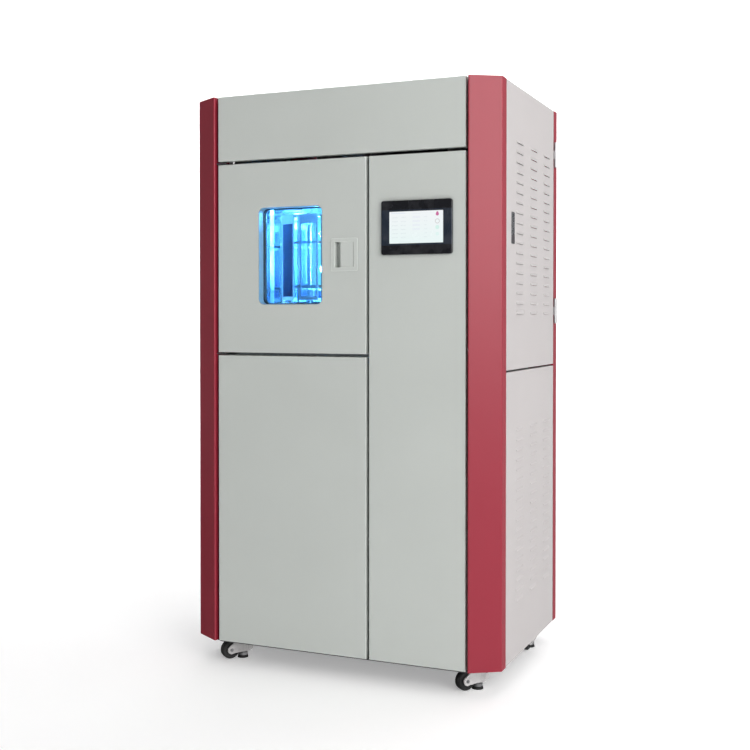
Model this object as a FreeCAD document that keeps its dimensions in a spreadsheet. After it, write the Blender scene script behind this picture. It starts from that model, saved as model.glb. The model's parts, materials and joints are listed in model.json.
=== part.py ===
import FreeCAD
import Part
import Sketcher
import math
import os

# Light fastness tester: a free-standing cabinet on four levelling casters, with a lit test chamber
# behind a windowed door on the left, an electrical bay on the right and louvred sides.
# The frame: X to the right, Y to the back, Z up, millimetres. The origin is on the floor, under
# the middle of the cabinet, and the front faces -Y.

SIZES = {
    # outline
    "panel_span": 753.2,          # both front panels and the gap between them
    "panel_height": 1577.3,
    "skirt_height": 66.0,         # floor to the lower edge of every outer panel
    "cabinet_depth": 668.2,       # front panel face to rear panel face
    "sheet": 1.5,
    "pan_depth": 20.0,            # flanges turned back round each outer panel
    "bend_radius": 2.0,
    # corner posts
    "post_gap": 8.1,
    "post_tip": 8.6,              # how far a post stands in front of the panels
    "post_width": 80.6,
    "post_slant": 49.5,
    "post_return": 36.6,
    "post_wall": 1.5,
    "post_bend": 3.0,
    # front panels
    "fascia_height": 186.3,
    "fascia_gap": 10.0,
    "door_width": 466.6,
    "door_height": 541.0,
    "door_gap": 9.0,
    "mullion_gap": 9.0,
    "door_depth": 40.0,
    "window_left": 131.6,         # from the door's left edge
    "window_base": 136.0,         # from the door's lower edge
    "window_width": 203.0,
    "window_height": 278.0,
    "window_round": 18.0,
    "pane_thickness": 4.0,
    "pane_clearance": 0.3,
    "running_gap": 0.3,
    # recessed door handle
    "handle_right": 24.0,         # from the bezel to the door's right edge
    "handle_base": 228.0,         # from the door's lower edge to the bezel
    "handle_width": 80.0,
    "handle_height": 92.0,
    "cup_depth": 20.0,
    "bezel_flange": 9.0,
    "bezel_proud": 1.6,
    "paddle_width": 41.0,
    "paddle_thickness": 3.0,
    "paddle_knuckle": 3.5,
    "paddle_pin": 1.5,
    "bolt_width": 12.0,
    "bolt_height": 20.0,
    "bolt_length": 26.0,
    "latch_clearance": 0.8,
    # door pivots
    "pivot_inset": 10.6,          # pivot axis from the door's left edge
    "pivot_setback": 10.1,        # and from its front face
    "pivot_pin": 4.0,
    "pivot_plate": 3.0,
    # sides
    "side_gap": 3.0,
    "side_split": 795.0,          # from the skirt to the gap between upper and lower side panels
    "side_split_gap": 5.0,
    "louvre_length": 77.0,
    "louvre_height": 11.0,
    "louvre_rise": 4.6,
    "louvre_taper": 6.0,
    "louvre_lip": 1.4,
    "louvre_pitch": 27.7,
    "louvre_rows": 18,
    "louvre_columns": 3,
    "louvre_column_pitch": 147.0,
    "louvre_front": 90.6,         # from the side panel's front end to the first column
    "louvre_base_upper": 152.5,   # from the panel's lower edge to the lowest lip
    "louvre_base_lower": 156.0,
    # side door hinges and lock
    "hinge_height": 76.0,
    "hinge_low": 163.5,           # middle of the lower hinge above the door's lower edge
    "hinge_spacing": 481.0,
    "hinge_axis_out": 5.2,
    "hinge_axis_back": 5.4,
    "hinge_barrel": 4.5,
    "hinge_pin": 2.0,
    "hinge_leaf": 2.0,
    "hinge_leaf_width": 26.0,
    "lock_front": 42.6,           # from the side door's front edge
    "lock_base": 343.5,           # from its lower edge
    "lock_width": 30.0,
    "lock_height": 86.0,
    "lock_depth": 18.0,
    "lock_flange": 3.0,
    "lock_proud": 1.5,
    "lock_button": 19.0,
    "button_travel": 3.0,
    "lever_thickness": 5.0,
    "lock_bolt_in": 11.0,         # the bolt's middle behind the side door's face
    "lock_bolt_width": 9.0,
    "lock_bolt_height": 16.0,
    "lock_bolt_length": 30.0,
    # cooling slots of the rear panels and the chamber's back wall
    "vent_side": 90.0,
    "vent_base": 60.0,
    "vent_pitch": 18.0,
    "vent_length": 120.0,
    "vent_height": 5.0,
    # base, decks and partition
    "base_thickness": 3.0,
    "base_inset": 12.0,
    "deck_thickness": 2.0,
    "deck_drop": 8.0,             # chamber deck below the chamber door's lower edge
    "partition_gap": 6.0,         # from the chamber door's edge to the partition
    "roof_drop": 6.0,
    # test chamber
    "chamber_side": 72.0,         # chamber walls inside the door's edges
    "chamber_back": 120.0,        # back wall's inner face, behind the cabinet's middle
    "chamber_floor": 24.0,        # above the deck
    "chamber_headroom": 34.0,     # ceiling below the door's upper edge
    "liner_sheet": 1.5,
    "frame_side": 74.0,           # mouth frame beside the chamber's walls
    "frame_bar": 24.0,            # and above and below
    "frame_thickness": 10.0,
    "gasket_width": 12.0,
    "gasket_thickness": 7.0,
    "gasket_gap": 2.3,            # the door's hinged edge swings this close
    # specimen rack and lamp
    "rack_back": 84.0,            # rack axis in front of the cabinet's middle
    "rack_radius": 146.0,
    "hoop_thickness": 3.0,
    "hoop_height": 8.0,
    "hoop_low": 60.0,             # hoops above the chamber's floor
    "hoop_mid": 169.0,
    "hoop_upper": 297.0,
    "hoop_top": 375.0,
    "rack_stations": 12,
    "rack_spokes": 6,
    "rod_width": 5.0,
    "rod_thickness": 3.0,
    "rod_turn": 18.0,             # first rod from the X axis
    "holder_turn": 3.0,           # and first holder
    "holder_width": 58.0,
    "holder_height": 250.0,
    "holder_thickness": 3.0,
    "hook_width": 16.0,
    "hook_thickness": 2.0,
    "empty_first": 6,             # these two stations hold no specimen
    "empty_second": 7,
    "spindle_radius": 9.0,
    "spindle_play": 0.5,
    "hub_radius": 24.0,
    "hub_height": 14.0,
    "lamp_radius": 9.0,
    "lamp_length": 296.0,
    "lamp_cap": 14.0,
    "lamp_cap_length": 20.0,
    "filter_radius": 50.0,
    "filter_wall": 4.0,
    "filter_foot": 3.0,
    "filter_sunk": 20.0,          # how far the filter cylinder stands in the lamp head
    "head_radius": 60.0,
    "head_height": 46.0,
    "head_step": 6.0,
    # rack drive
    "gear_drop": 34.0,            # the gears' lower face below the deck
    "gear_module": 2.5,
    "rack_teeth": 36,
    "pinion_teeth": 12,
    "gear_face": 10.0,
    "motor_size": 60.0,
    "motor_length": 78.0,
    "motor_shaft": 5.0,
    "motor_bracket": 3.0,
    # blower and exhaust
    "blower_drop": 90.0,          # blower axis below the chamber's ceiling
    "blower_radius": 72.0,
    "blower_width": 60.0,
    "blower_wall": 2.0,
    "impeller_radius": 56.0,
    "impeller_blades": 16,
    "impeller_play": 4.0,
    "blower_motor_radius": 34.0,
    "blower_motor_length": 55.0,
    "motor_cap": 27.0,            # end cap of the blower's motor
    "motor_cap_length": 7.0,
    "inlet_radius": 40.0,
    "exhaust_drop": 100.0,        # exhaust axis below the upper edge
    "exhaust_radius": 38.0,
    "exhaust_wall": 2.0,
    "exhaust_length": 70.0,
    "exhaust_flange": 12.0,
    # electrical bay
    "plate_gap": 10.0,
    "plate_sheet": 2.0,
    "plate_half": 190.0,
    "plate_base": 86.5,           # above the side door's lower edge
    "plate_height": 440.0,
    "rail_height": 35.0,
    "rail_depth": 7.5,
    "rail_length": 340.0,
    "rail_upper": 350.0,          # rails above the plate's lower edge
    "rail_lower": 160.0,
    "breaker_pitch": 18.0,
    "breaker_height": 80.0,
    "breaker_depth": 62.0,
    "breaker_count": 5,
    "contactor_pitch": 47.0,
    "contactor_width": 45.0,
    "contactor_height": 75.0,
    "contactor_depth": 82.0,
    "contactor_count": 3,
    "terminal_pitch": 6.2,
    "terminal_width": 5.9,
    "terminal_height": 50.0,
    "terminal_depth": 42.0,
    "terminal_count": 16,
    "controller_length": 130.0,
    "controller_height": 95.0,
    "controller_depth": 62.0,
    # lower bay
    "supply_width": 220.0,
    "supply_length": 300.0,
    "supply_height": 250.0,
    "tank_width": 150.0,
    "tank_length": 240.0,
    "tank_height": 220.0,
    "tank_round": 12.0,
    "cap_radius": 30.0,
    "cap_height": 16.0,
    "igniter_width": 90.0,
    "igniter_length": 140.0,
    "igniter_height": 60.0,
    "gland_radius": 12.0,
    "gland_length": 22.0,
    "probe_radius": 3.0,
    "probe_length": 45.0,
    # operator panel
    "screen_width": 154.1,
    "screen_height": 85.9,
    "hmi_width": 203.0,
    "hmi_height": 146.0,
    "hmi_proud": 8.0,
    "hmi_depth": 38.0,
    "hmi_margin": 6.0,
    "hmi_left": 39.3,             # from the right panel's left edge to the bezel
    "hmi_drop": 125.3,            # from the right panel's upper edge to the bezel
    # levelling casters
    "caster_left_x": 344.0,
    "caster_right_x": 385.0,
    "caster_front_y": 252.0,
    "caster_front_turn": 230.0,   # which way the front forks trail, from the X axis
    "caster_rear_x": 411.0,
    "caster_rear_y": 183.0,
    "caster_rear_turn": 270.0,
    "caster_plate": 28.0,         # half the mounting plate's width
    "caster_plate_thickness": 3.0,
    "caster_trail": 40.0,
    "wheel_radius": 27.0,
    "wheel_width": 22.0,
    "wheel_rim": 8.0,
    "wheel_chamfer": 4.0,
    "wheel_lift": 1.0,            # the cabinet stands levelled on its pads
    "hub_cap_radius": 12.0,
    "axle_radius": 4.0,
    "fork_wall": 4.5,
    "fork_clearance": 0.8,
    "fork_round": 12.0,
    "block_base": 20.0,           # underside of the cast block round the stem
    "block_front": 12.0,          # from the stem towards the wheel
    "block_back": 26.0,           # and away from it
    "block_slant": 11.0,
    "block_ribs": 3,
    "rib_pitch": 7.0,
    "rib_groove": 3.0,
    "rib_depth": 1.2,
    "crown_radius": 27.0,
    "crown_height": 6.0,
    "pad_radius": 16.0,
    "pad_taper": 2.0,
    "pad_height": 8.0,
    "stem_radius": 6.0,
    "dial_radius": 14.0,
    "dial_height": 7.0,
}

doc = FreeCAD.newDocument("LightFastnessTester")
sheet = doc.addObject("Spreadsheet::Sheet", "Sizes")
for row, (name, size) in enumerate(SIZES.items(), start=1):
    sheet.set(f"A{row}", name)
    sheet.set(f"B{row}", str(size))
    sheet.setAlias(f"B{row}", name)
doc.recompute()


def number(term):
    return term.value if isinstance(term, Size) else term


def words(term):
    return term.text if isinstance(term, Size) else f"{term:.10g}"


class Size:
    """A size from the sheet, or a sum of them: what it measures now and the expression for it."""

    def __init__(self, value, text):
        self.value = value
        self.text = text

    def __add__(self, other):
        return Size(self.value + number(other), f"({self.text} + {words(other)})")

    def __radd__(self, other):
        return Size(number(other) + self.value, f"({words(other)} + {self.text})")

    def __sub__(self, other):
        return Size(self.value - number(other), f"({self.text} - {words(other)})")

    def __rsub__(self, other):
        return Size(number(other) - self.value, f"({words(other)} - {self.text})")

    def __mul__(self, other):
        return Size(self.value * number(other), f"({self.text} * {words(other)})")

    def __rmul__(self, other):
        return Size(number(other) * self.value, f"({words(other)} * {self.text})")

    def __truediv__(self, other):
        return Size(self.value / number(other), f"({self.text} / {words(other)})")

    def __neg__(self):
        return Size(-self.value, f"(0 - {self.text})")


class Sheet:
    """Each size of the sheet by its alias."""

    def __getattr__(self, name):
        return Size(float(sheet.get(name)), f"Sizes.{name}")


S = Sheet()

PARTS = []
X_AXIS = FreeCAD.Vector(1, 0, 0)
Y_AXIS = FreeCAD.Vector(0, 1, 0)
Z_AXIS = FreeCAD.Vector(0, 0, 1)


def bind(obj, path, term):
    """Sets a property, and ties it to the sheet where the term comes from there."""
    value = number(term)
    if "." not in path:
        setattr(obj, path, int(value) if path == "Occurrences" else value)
    if isinstance(term, Size):
        obj.setExpression(path, term.text)


def place(obj, at, axis=None, angle=0.0, name="Placement"):
    """Moves an object to a point, after a turn about an axis through its own origin."""
    turn = FreeCAD.Rotation(axis, angle) if axis else FreeCAD.Rotation()
    base = FreeCAD.Vector(*[number(term) for term in at])
    setattr(obj, name, FreeCAD.Placement(base, turn))
    for letter, term in zip("xyz", at):
        if isinstance(term, Size):
            obj.setExpression(f"{name}.Base.{letter}", term.text)
    return obj


def part(obj, label):
    """Names a finished sub-part."""
    obj.Label = label
    PARTS.append(obj)
    return obj


def box(low, size, axis=None, angle=0.0):
    solid = doc.addObject("Part::Box", "Block")
    for path, term in zip(("Length", "Width", "Height"), size):
        bind(solid, path, term)
    return place(solid, low, axis, angle)


def span(low, high):
    """A box between two corners."""
    return box(low, [b - a for a, b in zip(low, high)])


def cylinder(base, radius, height, axis=None, angle=0.0):
    solid = doc.addObject("Part::Cylinder", "Round")
    bind(solid, "Radius", radius)
    bind(solid, "Height", height)
    return place(solid, base, axis, angle)


def cylinder_x(base, radius, length):
    return cylinder(base, radius, length, Y_AXIS, 90)


def cylinder_y(base, radius, length):
    return cylinder(base, radius, length, X_AXIS, -90)


def fuse(*shapes):
    joined = doc.addObject("Part::MultiFuse", "Joined")
    joined.Shapes = list(shapes)
    joined.Refine = True
    return joined


def cut(base, *tools):
    result = doc.addObject("Part::Cut", "Trimmed")
    result.Base = base
    result.Tool = tools[0] if len(tools) == 1 else fuse(*tools)
    result.Refine = True
    return result


def group(*shapes):
    """Separate solids that share one node."""
    several = doc.addObject("Part::Compound", "Set")
    several.Links = list(shapes)
    return several


def mirrored(source, normal):
    twin = doc.addObject("Part::Mirroring", "Twin")
    twin.Source = source
    twin.Base = FreeCAD.Vector(0, 0, 0)
    twin.Normal = normal
    return twin


def rounded(base, radius, chosen):
    """Fillets the edges of a shape that the test picks."""
    doc.recompute()
    numbers = [i + 1 for i, edge in enumerate(base.Shape.Edges) if chosen(edge)]
    result = doc.addObject("Part::Fillet", "Rounded")
    result.Base = base
    result.Edges = [(i, number(radius), number(radius)) for i in numbers]
    return result


def runs_along(edge, letter):
    """True where a straight edge is parallel to an axis."""
    extent = edge.BoundBox
    lengths = {"x": extent.XLength, "y": extent.YLength, "z": extent.ZLength}
    others = [size for axis, size in lengths.items() if axis != letter]
    return lengths[letter] > 0.5 and max(others) < 1e-6


class Body:
    """A body built up from sketches on its own origin planes."""

    NORMALS = {"XY": 1, "XZ": -1, "YZ": 1}

    def __init__(self, label, at=(0.0, 0.0, 0.0), axis=None, angle=0.0):
        self.body = doc.addObject("PartDesign::Body", "Body")
        if label:
            part(self.body, label)
        place(self.body, at, axis, angle)

    def origin(self, role):
        return next(item for item in self.body.Origin.OriginFeatures if item.Role == role)

    def attach(self, item, plane, level=0.0):
        item.AttachmentSupport = [(self.origin(plane + "_Plane"), "")]
        item.MapMode = "FlatFace"
        offset = level * self.NORMALS[plane]
        place(item, (0.0, 0.0, offset), name="AttachmentOffset")

    def sketch(self, plane, level=0.0):
        drawing = self.body.newObject("Sketcher::SketchObject", "Sketch")
        self.attach(drawing, plane, level)
        return drawing

    def outline(self, plane, points, level=0.0):
        """A closed polygon with every corner dimensioned from the origin."""
        drawing = self.sketch(plane, level)
        polygon(drawing, points)
        return drawing

    def circles(self, plane, rounds, level=0.0):
        drawing = self.sketch(plane, level)
        for x, y, radius in rounds:
            circle(drawing, x, y, radius)
        return drawing

    def frame(self, plane, low, high, radius, level=0.0):
        drawing = self.sketch(plane, level)
        rounded_rectangle(drawing, low, high, radius)
        return drawing

    def change(self, feature, grows):
        """Recomputes and makes sure that the feature added or removed material as it should."""
        before = getattr(self, "volume", 0.0)
        doc.recompute()
        self.volume = feature.Shape.Volume
        if (self.volume > before + 1e-3) != grows or abs(self.volume - before) < 1e-3:
            raise ValueError(f"{self.body.Label}: {feature.Name} changed nothing")
        self.tip = feature
        return feature

    def pad(self, drawing, length, toward=1):
        feature = self.body.newObject("PartDesign::Pad", "Pad")
        feature.Profile = drawing
        bind(feature, "Length", length)
        feature.Reversed = toward != self.facing(drawing)
        return self.change(feature, True)

    def pocket(self, drawing, length, toward=1):
        feature = self.body.newObject("PartDesign::Pocket", "Pocket")
        feature.Profile = drawing
        bind(feature, "Length", length)
        feature.Reversed = toward == self.facing(drawing)
        return self.change(feature, False)

    def facing(self, drawing):
        plane = drawing.AttachmentSupport[0][0].Role[:2]
        return self.NORMALS[plane]

    def revolve(self, drawing, axis, cuts=False):
        kind = "PartDesign::Groove" if cuts else "PartDesign::Revolution"
        feature = self.body.newObject(kind, "Turned")
        feature.Profile = drawing
        feature.ReferenceAxis = (self.origin(axis + "_Axis"), [""])
        feature.Angle = 360
        return self.change(feature, not cuts)

    def fillet(self, radius, chosen):
        names = [f"Edge{i + 1}" for i, e in enumerate(self.tip.Shape.Edges) if chosen(e)]
        feature = self.body.newObject("PartDesign::Fillet", "Fillet")
        feature.Base = (self.tip, names)
        bind(feature, "Radius", radius)
        doc.recompute()
        self.tip = feature
        self.volume = feature.Shape.Volume
        return feature

    def polar(self, features, axis, count):
        pattern = self.body.newObject("PartDesign::PolarPattern", "Round")
        pattern.Originals = features
        pattern.Axis = (self.origin(axis + "_Axis"), [""])
        pattern.Angle = 360
        bind(pattern, "Occurrences", count)
        self.body.Tip = pattern
        doc.recompute()
        self.tip = pattern
        self.volume = pattern.Shape.Volume
        return pattern


def pin_point(drawing, item, spot, x, y):
    """Dimensions one point of a sketch from its origin, both ways."""
    for kind, term in (("DistanceX", x), ("DistanceY", y)):
        index = drawing.addConstraint(
            Sketcher.Constraint(kind, -1, 1, item, spot, number(term))
        )
        if isinstance(term, Size):
            drawing.setExpression(f"Constraints[{index}]", term.text)


def polygon(drawing, points):
    corners = [FreeCAD.Vector(number(x), number(y), 0) for x, y in points]
    first = drawing.GeometryCount
    count = len(corners)
    for i in range(count):
        drawing.addGeometry(Part.LineSegment(corners[i], corners[(i + 1) % count]))
    for i in range(count):
        follower = first + (i + 1) % count
        drawing.addConstraint(Sketcher.Constraint("Coincident", first + i, 2, follower, 1))
        pin_point(drawing, first + i, 1, *points[i])


def circle(drawing, x, y, radius):
    centre = FreeCAD.Vector(number(x), number(y), 0)
    item = drawing.addGeometry(Part.Circle(centre, Z_AXIS, number(radius)))
    pin_point(drawing, item, 3, x, y)
    index = drawing.addConstraint(Sketcher.Constraint("Radius", item, number(radius)))
    if isinstance(radius, Size):
        drawing.setExpression(f"Constraints[{index}]", radius.text)


def rounded_rectangle(drawing, low, high, radius):
    """Four lines and four tangent corner arcs, each arc centre dimensioned from the origin."""
    (x0, y0), (x1, y1) = low, high
    centres = [
        (x1 - radius, y0 + radius, -90),
        (x1 - radius, y1 - radius, 0),
        (x0 + radius, y1 - radius, 90),
        (x0 + radius, y0 + radius, 180),
    ]
    first = drawing.GeometryCount
    ends = []
    for x, y, start in centres:
        middle = FreeCAD.Vector(number(x), number(y), 0)
        ring = Part.Circle(middle, Z_AXIS, number(radius))
        a, b = math.radians(start), math.radians(start + 90)
        drawing.addGeometry(Part.ArcOfCircle(ring, a, b))
        reach = [FreeCAD.Vector(math.cos(t), math.sin(t), 0) * number(radius) for t in (a, b)]
        ends.append([middle + step for step in reach])
    for i in range(4):
        drawing.addGeometry(Part.LineSegment(ends[i][1], ends[(i + 1) % 4][0]))
    for i, (x, y, _) in enumerate(centres):
        line, follower = first + 4 + i, first + (i + 1) % 4
        drawing.addConstraint(Sketcher.Constraint("Tangent", first + i, 2, line, 1))
        drawing.addConstraint(Sketcher.Constraint("Tangent", line, 2, follower, 1))
        pin_point(drawing, first + i, 3, x, y)
    index = drawing.addConstraint(Sketcher.Constraint("Radius", first, number(radius)))
    if isinstance(radius, Size):
        drawing.setExpression(f"Constraints[{index}]", radius.text)


# Lines and faces that pieces share.
tip_x = S.panel_span / 2 + S.post_gap
side_x = tip_x + S.post_width
front_y = -(S.cabinet_depth / 2)
tip_y = front_y - S.post_tip
slant_y = tip_y + S.post_slant
return_y = slant_y + S.post_return
base_z = S.skirt_height
top_z = S.skirt_height + S.panel_height
door_left = -(S.panel_span / 2)
door_right = door_left + S.door_width
door_top = top_z - S.fascia_height - S.fascia_gap
door_base = door_top - S.door_height
lower_top = door_base - S.door_gap
right_left = door_right + S.mullion_gap
right_edge = S.panel_span / 2
flange_y = front_y + S.pan_depth
door_back = front_y + S.door_depth
inner_side_x = side_x - S.pan_depth
deck_z = door_base - S.deck_drop
partition_x = door_right + S.partition_gap
floor_z = deck_z + S.deck_thickness + S.chamber_floor
ceiling_z = door_top - S.chamber_headroom
chamber_left = door_left + S.chamber_side
chamber_right = door_right - S.chamber_side
frame_y = door_back + S.gasket_thickness + S.gasket_gap
liner_y = frame_y + S.frame_thickness
side_front = return_y + S.side_gap
side_length = -return_y * 2 - S.side_gap * 2
side_upper_z = base_z + S.side_split + S.side_split_gap / 2
side_lower_top = base_z + S.side_split - S.side_split_gap / 2
rack_x = (chamber_left + chamber_right) / 2
rack_y = -S.rack_back
gear_z = deck_z - S.gear_drop
pinion_x = rack_x + S.gear_module * (S.rack_teeth + S.pinion_teeth) / 2
motor_plate_z = gear_z - S.motor_bracket * 2
blower_z = ceiling_z - S.blower_drop
exhaust_z = top_z - S.exhaust_drop
plate_x = partition_x + S.sheet + S.plate_gap
plate_low = side_upper_z + S.plate_base
rail_upper_z = plate_low + S.rail_upper
rail_lower_z = plate_low + S.rail_lower
hoop_z = floor_z + S.hoop_low
hoop_top_z = floor_z + S.hoop_top
gland_x = right_left + S.hmi_left
gland_z = base_z + S.vent_base


def pan(label, left, low, wide, tall, deep):
    """A front panel: a shallow tray of bent sheet, its open side to the back."""
    body = Body(label, (left, front_y, low))
    body.pad(body.outline("XZ", [(0, 0), (wide, 0), (wide, tall), (0, tall)]), deep, 1)
    body.fillet(S.bend_radius, lambda e: e.BoundBox.YMax < 1e-4)
    inner = [
        (S.sheet, S.sheet),
        (wide - S.sheet, S.sheet),
        (wide - S.sheet, tall - S.sheet),
        (S.sheet, tall - S.sheet),
    ]
    body.pocket(body.outline("XZ", inner, S.sheet), deep - S.sheet, 1)
    return body


def corner_post(x_side, y_side):
    """A closed column with a slanted outer face, folded from sheet, with a cap on top."""
    body = Body(None, (0.0, 0.0, base_z))
    wall = S.post_wall
    outer = [
        (x_side * tip_x, y_side * tip_y),
        (x_side * side_x, y_side * slant_y),
        (x_side * side_x, y_side * return_y),
        (x_side * tip_x, y_side * return_y),
    ]
    body.pad(body.outline("XY", outer), S.panel_height, 1)
    lean = S.post_slant / S.post_width
    thick = wall * math.hypot(1, number(lean))
    inner = [
        (x_side * (tip_x + wall), y_side * (tip_y + lean * wall + thick)),
        (x_side * (side_x - wall), y_side * (slant_y - lean * wall + thick)),
        (x_side * (side_x - wall), y_side * (return_y - wall)),
        (x_side * (tip_x + wall), y_side * (return_y - wall)),
    ]
    limit = number(slant_y) + 1
    body.fillet(S.post_bend, lambda e: runs_along(e, "z") and e.BoundBox.YMin * y_side < limit)
    body.pocket(body.outline("XY", inner), S.panel_height - wall, 1)
    return body.body


def base_plate():
    """The steel plate that the posts and panels stand on."""
    body = Body("base_plate", (0.0, 0.0, base_z - S.base_thickness))
    wide = side_x - S.base_inset
    long = -tip_y - S.base_inset
    cut_x = wide - S.post_width
    cut_y = long - S.post_slant
    points = [
        (-cut_x, -long), (cut_x, -long), (wide, -cut_y), (wide, cut_y),
        (cut_x, long), (-cut_x, long), (-wide, cut_y), (-wide, -cut_y),
    ]
    body.pad(body.outline("XY", points), S.base_thickness, 1)


def roof_panel():
    """A shallow tray let in between the posts and panels, just below their upper edges."""
    low = top_z - S.roof_drop - S.sheet
    main = span((-tip_x, flange_y, low), (tip_x, -flange_y, low + S.sheet))
    wings = span((-inner_side_x, return_y, low), (inner_side_x, -return_y, low + S.sheet))
    part(fuse(main, wings), "roof_panel")


def front_panels():
    fascia_base = top_z - S.fascia_height
    pan("front_fascia", door_left, fascia_base, S.panel_span, S.fascia_height, S.pan_depth)
    pan("lower_front_panel", door_left, base_z, S.door_width, lower_top - base_z, S.pan_depth)
    width = right_edge - right_left
    body = pan("right_front_panel", right_left, base_z, width, door_top - base_z, S.pan_depth)
    left = S.hmi_left + S.hmi_margin
    top = door_top - base_z - S.hmi_drop - S.hmi_margin
    right = left + S.hmi_width - S.hmi_margin * 2
    bottom = top - S.hmi_height + S.hmi_margin * 2
    hole = [(left, bottom), (right, bottom), (right, top), (left, top)]
    body.pocket(body.outline("XZ", hole), S.sheet, 1)


def operator_panel():
    """The touch screen: a rounded bezel in front of the panel and a case through its cut-out."""
    left = right_left + S.hmi_left
    base = door_top - S.hmi_drop - S.hmi_height
    body = Body("operator_panel", (left, front_y, base))
    low, high = (0, 0), (S.hmi_width, S.hmi_height)
    body.pad(body.frame("XZ", low, high, S.hmi_margin), S.hmi_proud, -1)
    body.fillet(S.bend_radius, lambda e: e.BoundBox.YMax < 1e-4 - number(S.hmi_proud))
    inset = S.hmi_margin + S.running_gap
    case = body.frame("XZ", (inset, inset), (S.hmi_width - inset, S.hmi_height - inset), S.sheet)
    body.pad(case, S.hmi_depth, 1)
    side = (S.hmi_width - S.screen_width) / 2
    rise = (S.hmi_height - S.screen_height) / 2
    glass = S.pane_thickness / 2
    low = (side, rise)
    high = (side + S.screen_width, rise + S.screen_height)
    body.pocket(body.frame("XZ", low, high, S.sheet, -S.hmi_proud), glass, 1)
    spot = (left + side + S.running_gap / 2, front_y - S.hmi_proud, base + rise + S.running_gap / 2)
    trim = S.running_gap
    screen = Body("operator_screen", spot)
    far = (S.screen_width - trim, S.screen_height - trim)
    screen.pad(screen.frame("XZ", (0, 0), far, S.sheet), glass, 1)


def bolt_front():
    """How far the door's bolt lies behind the door's front face."""
    return S.cup_depth + S.running_gap * 4


def chamber_door():
    """The outer tray, with the window opening and the openings for the handle, bolt and pivots."""
    wide, tall = S.door_width, S.door_height
    body = pan("chamber_door", door_left, door_base, wide, tall, S.door_depth - S.sheet)
    low = (S.window_left, S.window_base)
    high = (S.window_left + S.window_width, S.window_base + S.window_height)
    body.pocket(body.frame("XZ", low, high, S.window_round), S.sheet, 1)
    right = wide - S.handle_right - S.bezel_flange
    left = right - S.handle_width + S.bezel_flange * 2
    base = S.handle_base + S.bezel_flange
    top = base + S.handle_height - S.bezel_flange * 2
    body.pocket(body.outline("XZ", corners(left, base, right, top)), S.sheet, 1)
    mid = S.handle_base + S.handle_height / 2
    play = S.running_gap
    near = bolt_front() - play
    reach = S.bolt_height / 2 + play
    slot = corners(near, mid - reach, near + S.bolt_width + play * 2, mid + reach)
    body.pocket(body.outline("YZ", slot, wide), S.sheet, -1)
    hole = [(S.pivot_inset, S.pivot_setback, S.pivot_pin + play)]
    body.pocket(body.circles("XY", hole), tall, 1)


def corners(x0, y0, x1, y1):
    return [(x0, y0), (x1, y0), (x1, y1), (x0, y1)]


def door_liner():
    """The inner skin of the door, with a tunnel that lines the window's reveal."""
    body = Body("door_inner_panel", (door_left, door_back - S.sheet, door_base))
    wide, tall, wall = S.door_width, S.door_height, S.sheet
    body.pad(body.outline("XZ", corners(0, 0, wide, tall)), wall, 1)
    low = (S.window_left, S.window_base)
    high = (S.window_left + S.window_width, S.window_base + S.window_height)
    body.pad(body.frame("XZ", low, high, S.window_round), S.door_depth - wall * 2, -1)
    low = (S.window_left + wall, S.window_base + wall)
    high = (high[0] - wall, high[1] - wall)
    body.pocket(body.frame("XZ", low, high, S.window_round - wall, wall), S.door_depth, -1)


def window_panes():
    """Two panes at the inner end of the reveal, with an air gap between them."""
    clear = S.sheet + S.pane_clearance
    low = (S.window_left + clear, S.window_base + clear)
    high = (
        S.window_left + S.window_width - clear,
        S.window_base + S.window_height - clear,
    )
    panes = []
    for steps in (1, 3):
        body = Body(None, (door_left, door_back - S.pane_thickness * steps, door_base))
        body.pad(body.frame("XZ", low, high, S.window_round - clear), S.pane_thickness, 1)
        panes.append(body.body)
    part(group(*panes), "window_panes")


def door_handle():
    """A recessed cup with a flange, a paddle on a vertical pin in it, and the bolt it draws."""
    right = door_right - S.handle_right
    base = door_base + S.handle_base
    wide, tall, edge, wall = S.handle_width, S.handle_height, S.bezel_flange, S.sheet
    play = S.running_gap
    body = Body("handle_cup", (right - wide, front_y, base))
    body.pad(body.frame("XZ", (0, 0), (wide, tall), edge / 2), S.bezel_proud, -1)
    inner = edge + play
    outer = corners(inner, inner, wide - inner, tall - inner)
    body.pad(body.outline("XZ", outer), S.cup_depth, 1)
    inner = edge + play + wall
    hollow = corners(inner, inner, wide - inner, tall - inner)
    deep = S.bezel_proud + S.cup_depth - wall
    body.pocket(body.outline("XZ", hollow, -S.bezel_proud), deep, 1)
    knuckle = S.paddle_knuckle
    axis_x = wide - inner - play - knuckle
    axis_y = knuckle
    hole = [(axis_x, axis_y, S.paddle_pin + play)]
    body.pocket(body.circles("XY", hole), tall, 1)
    low = inner + play
    left = axis_x + knuckle - S.paddle_width
    place_at = (right - wide, front_y, base)
    plate = shifted(place_at, (left, 0.0, low), (axis_x, S.paddle_thickness, tall - low))
    barrel = cylinder(moved(place_at, (axis_x, axis_y, low)), knuckle, tall - low * 2)
    start = inner - wall
    pin = cylinder(moved(place_at, (axis_x, axis_y, start)), S.paddle_pin, tall - start * 2)
    part(fuse(plate, barrel, pin), "handle_paddle")
    nose = partition_x - S.latch_clearance
    y = front_y + bolt_front()
    mid = base + tall / 2
    low = (nose - S.bolt_length, y, mid - S.bolt_height / 2)
    part(span(low, (nose, y + S.bolt_width, mid + S.bolt_height / 2)), "door_bolt")


def moved(start, step):
    return tuple(a + b for a, b in zip(start, step))


def shifted(start, low, high):
    """A box between two corners that are measured from a point."""
    return span(moved(start, low), moved(start, high))


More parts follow.
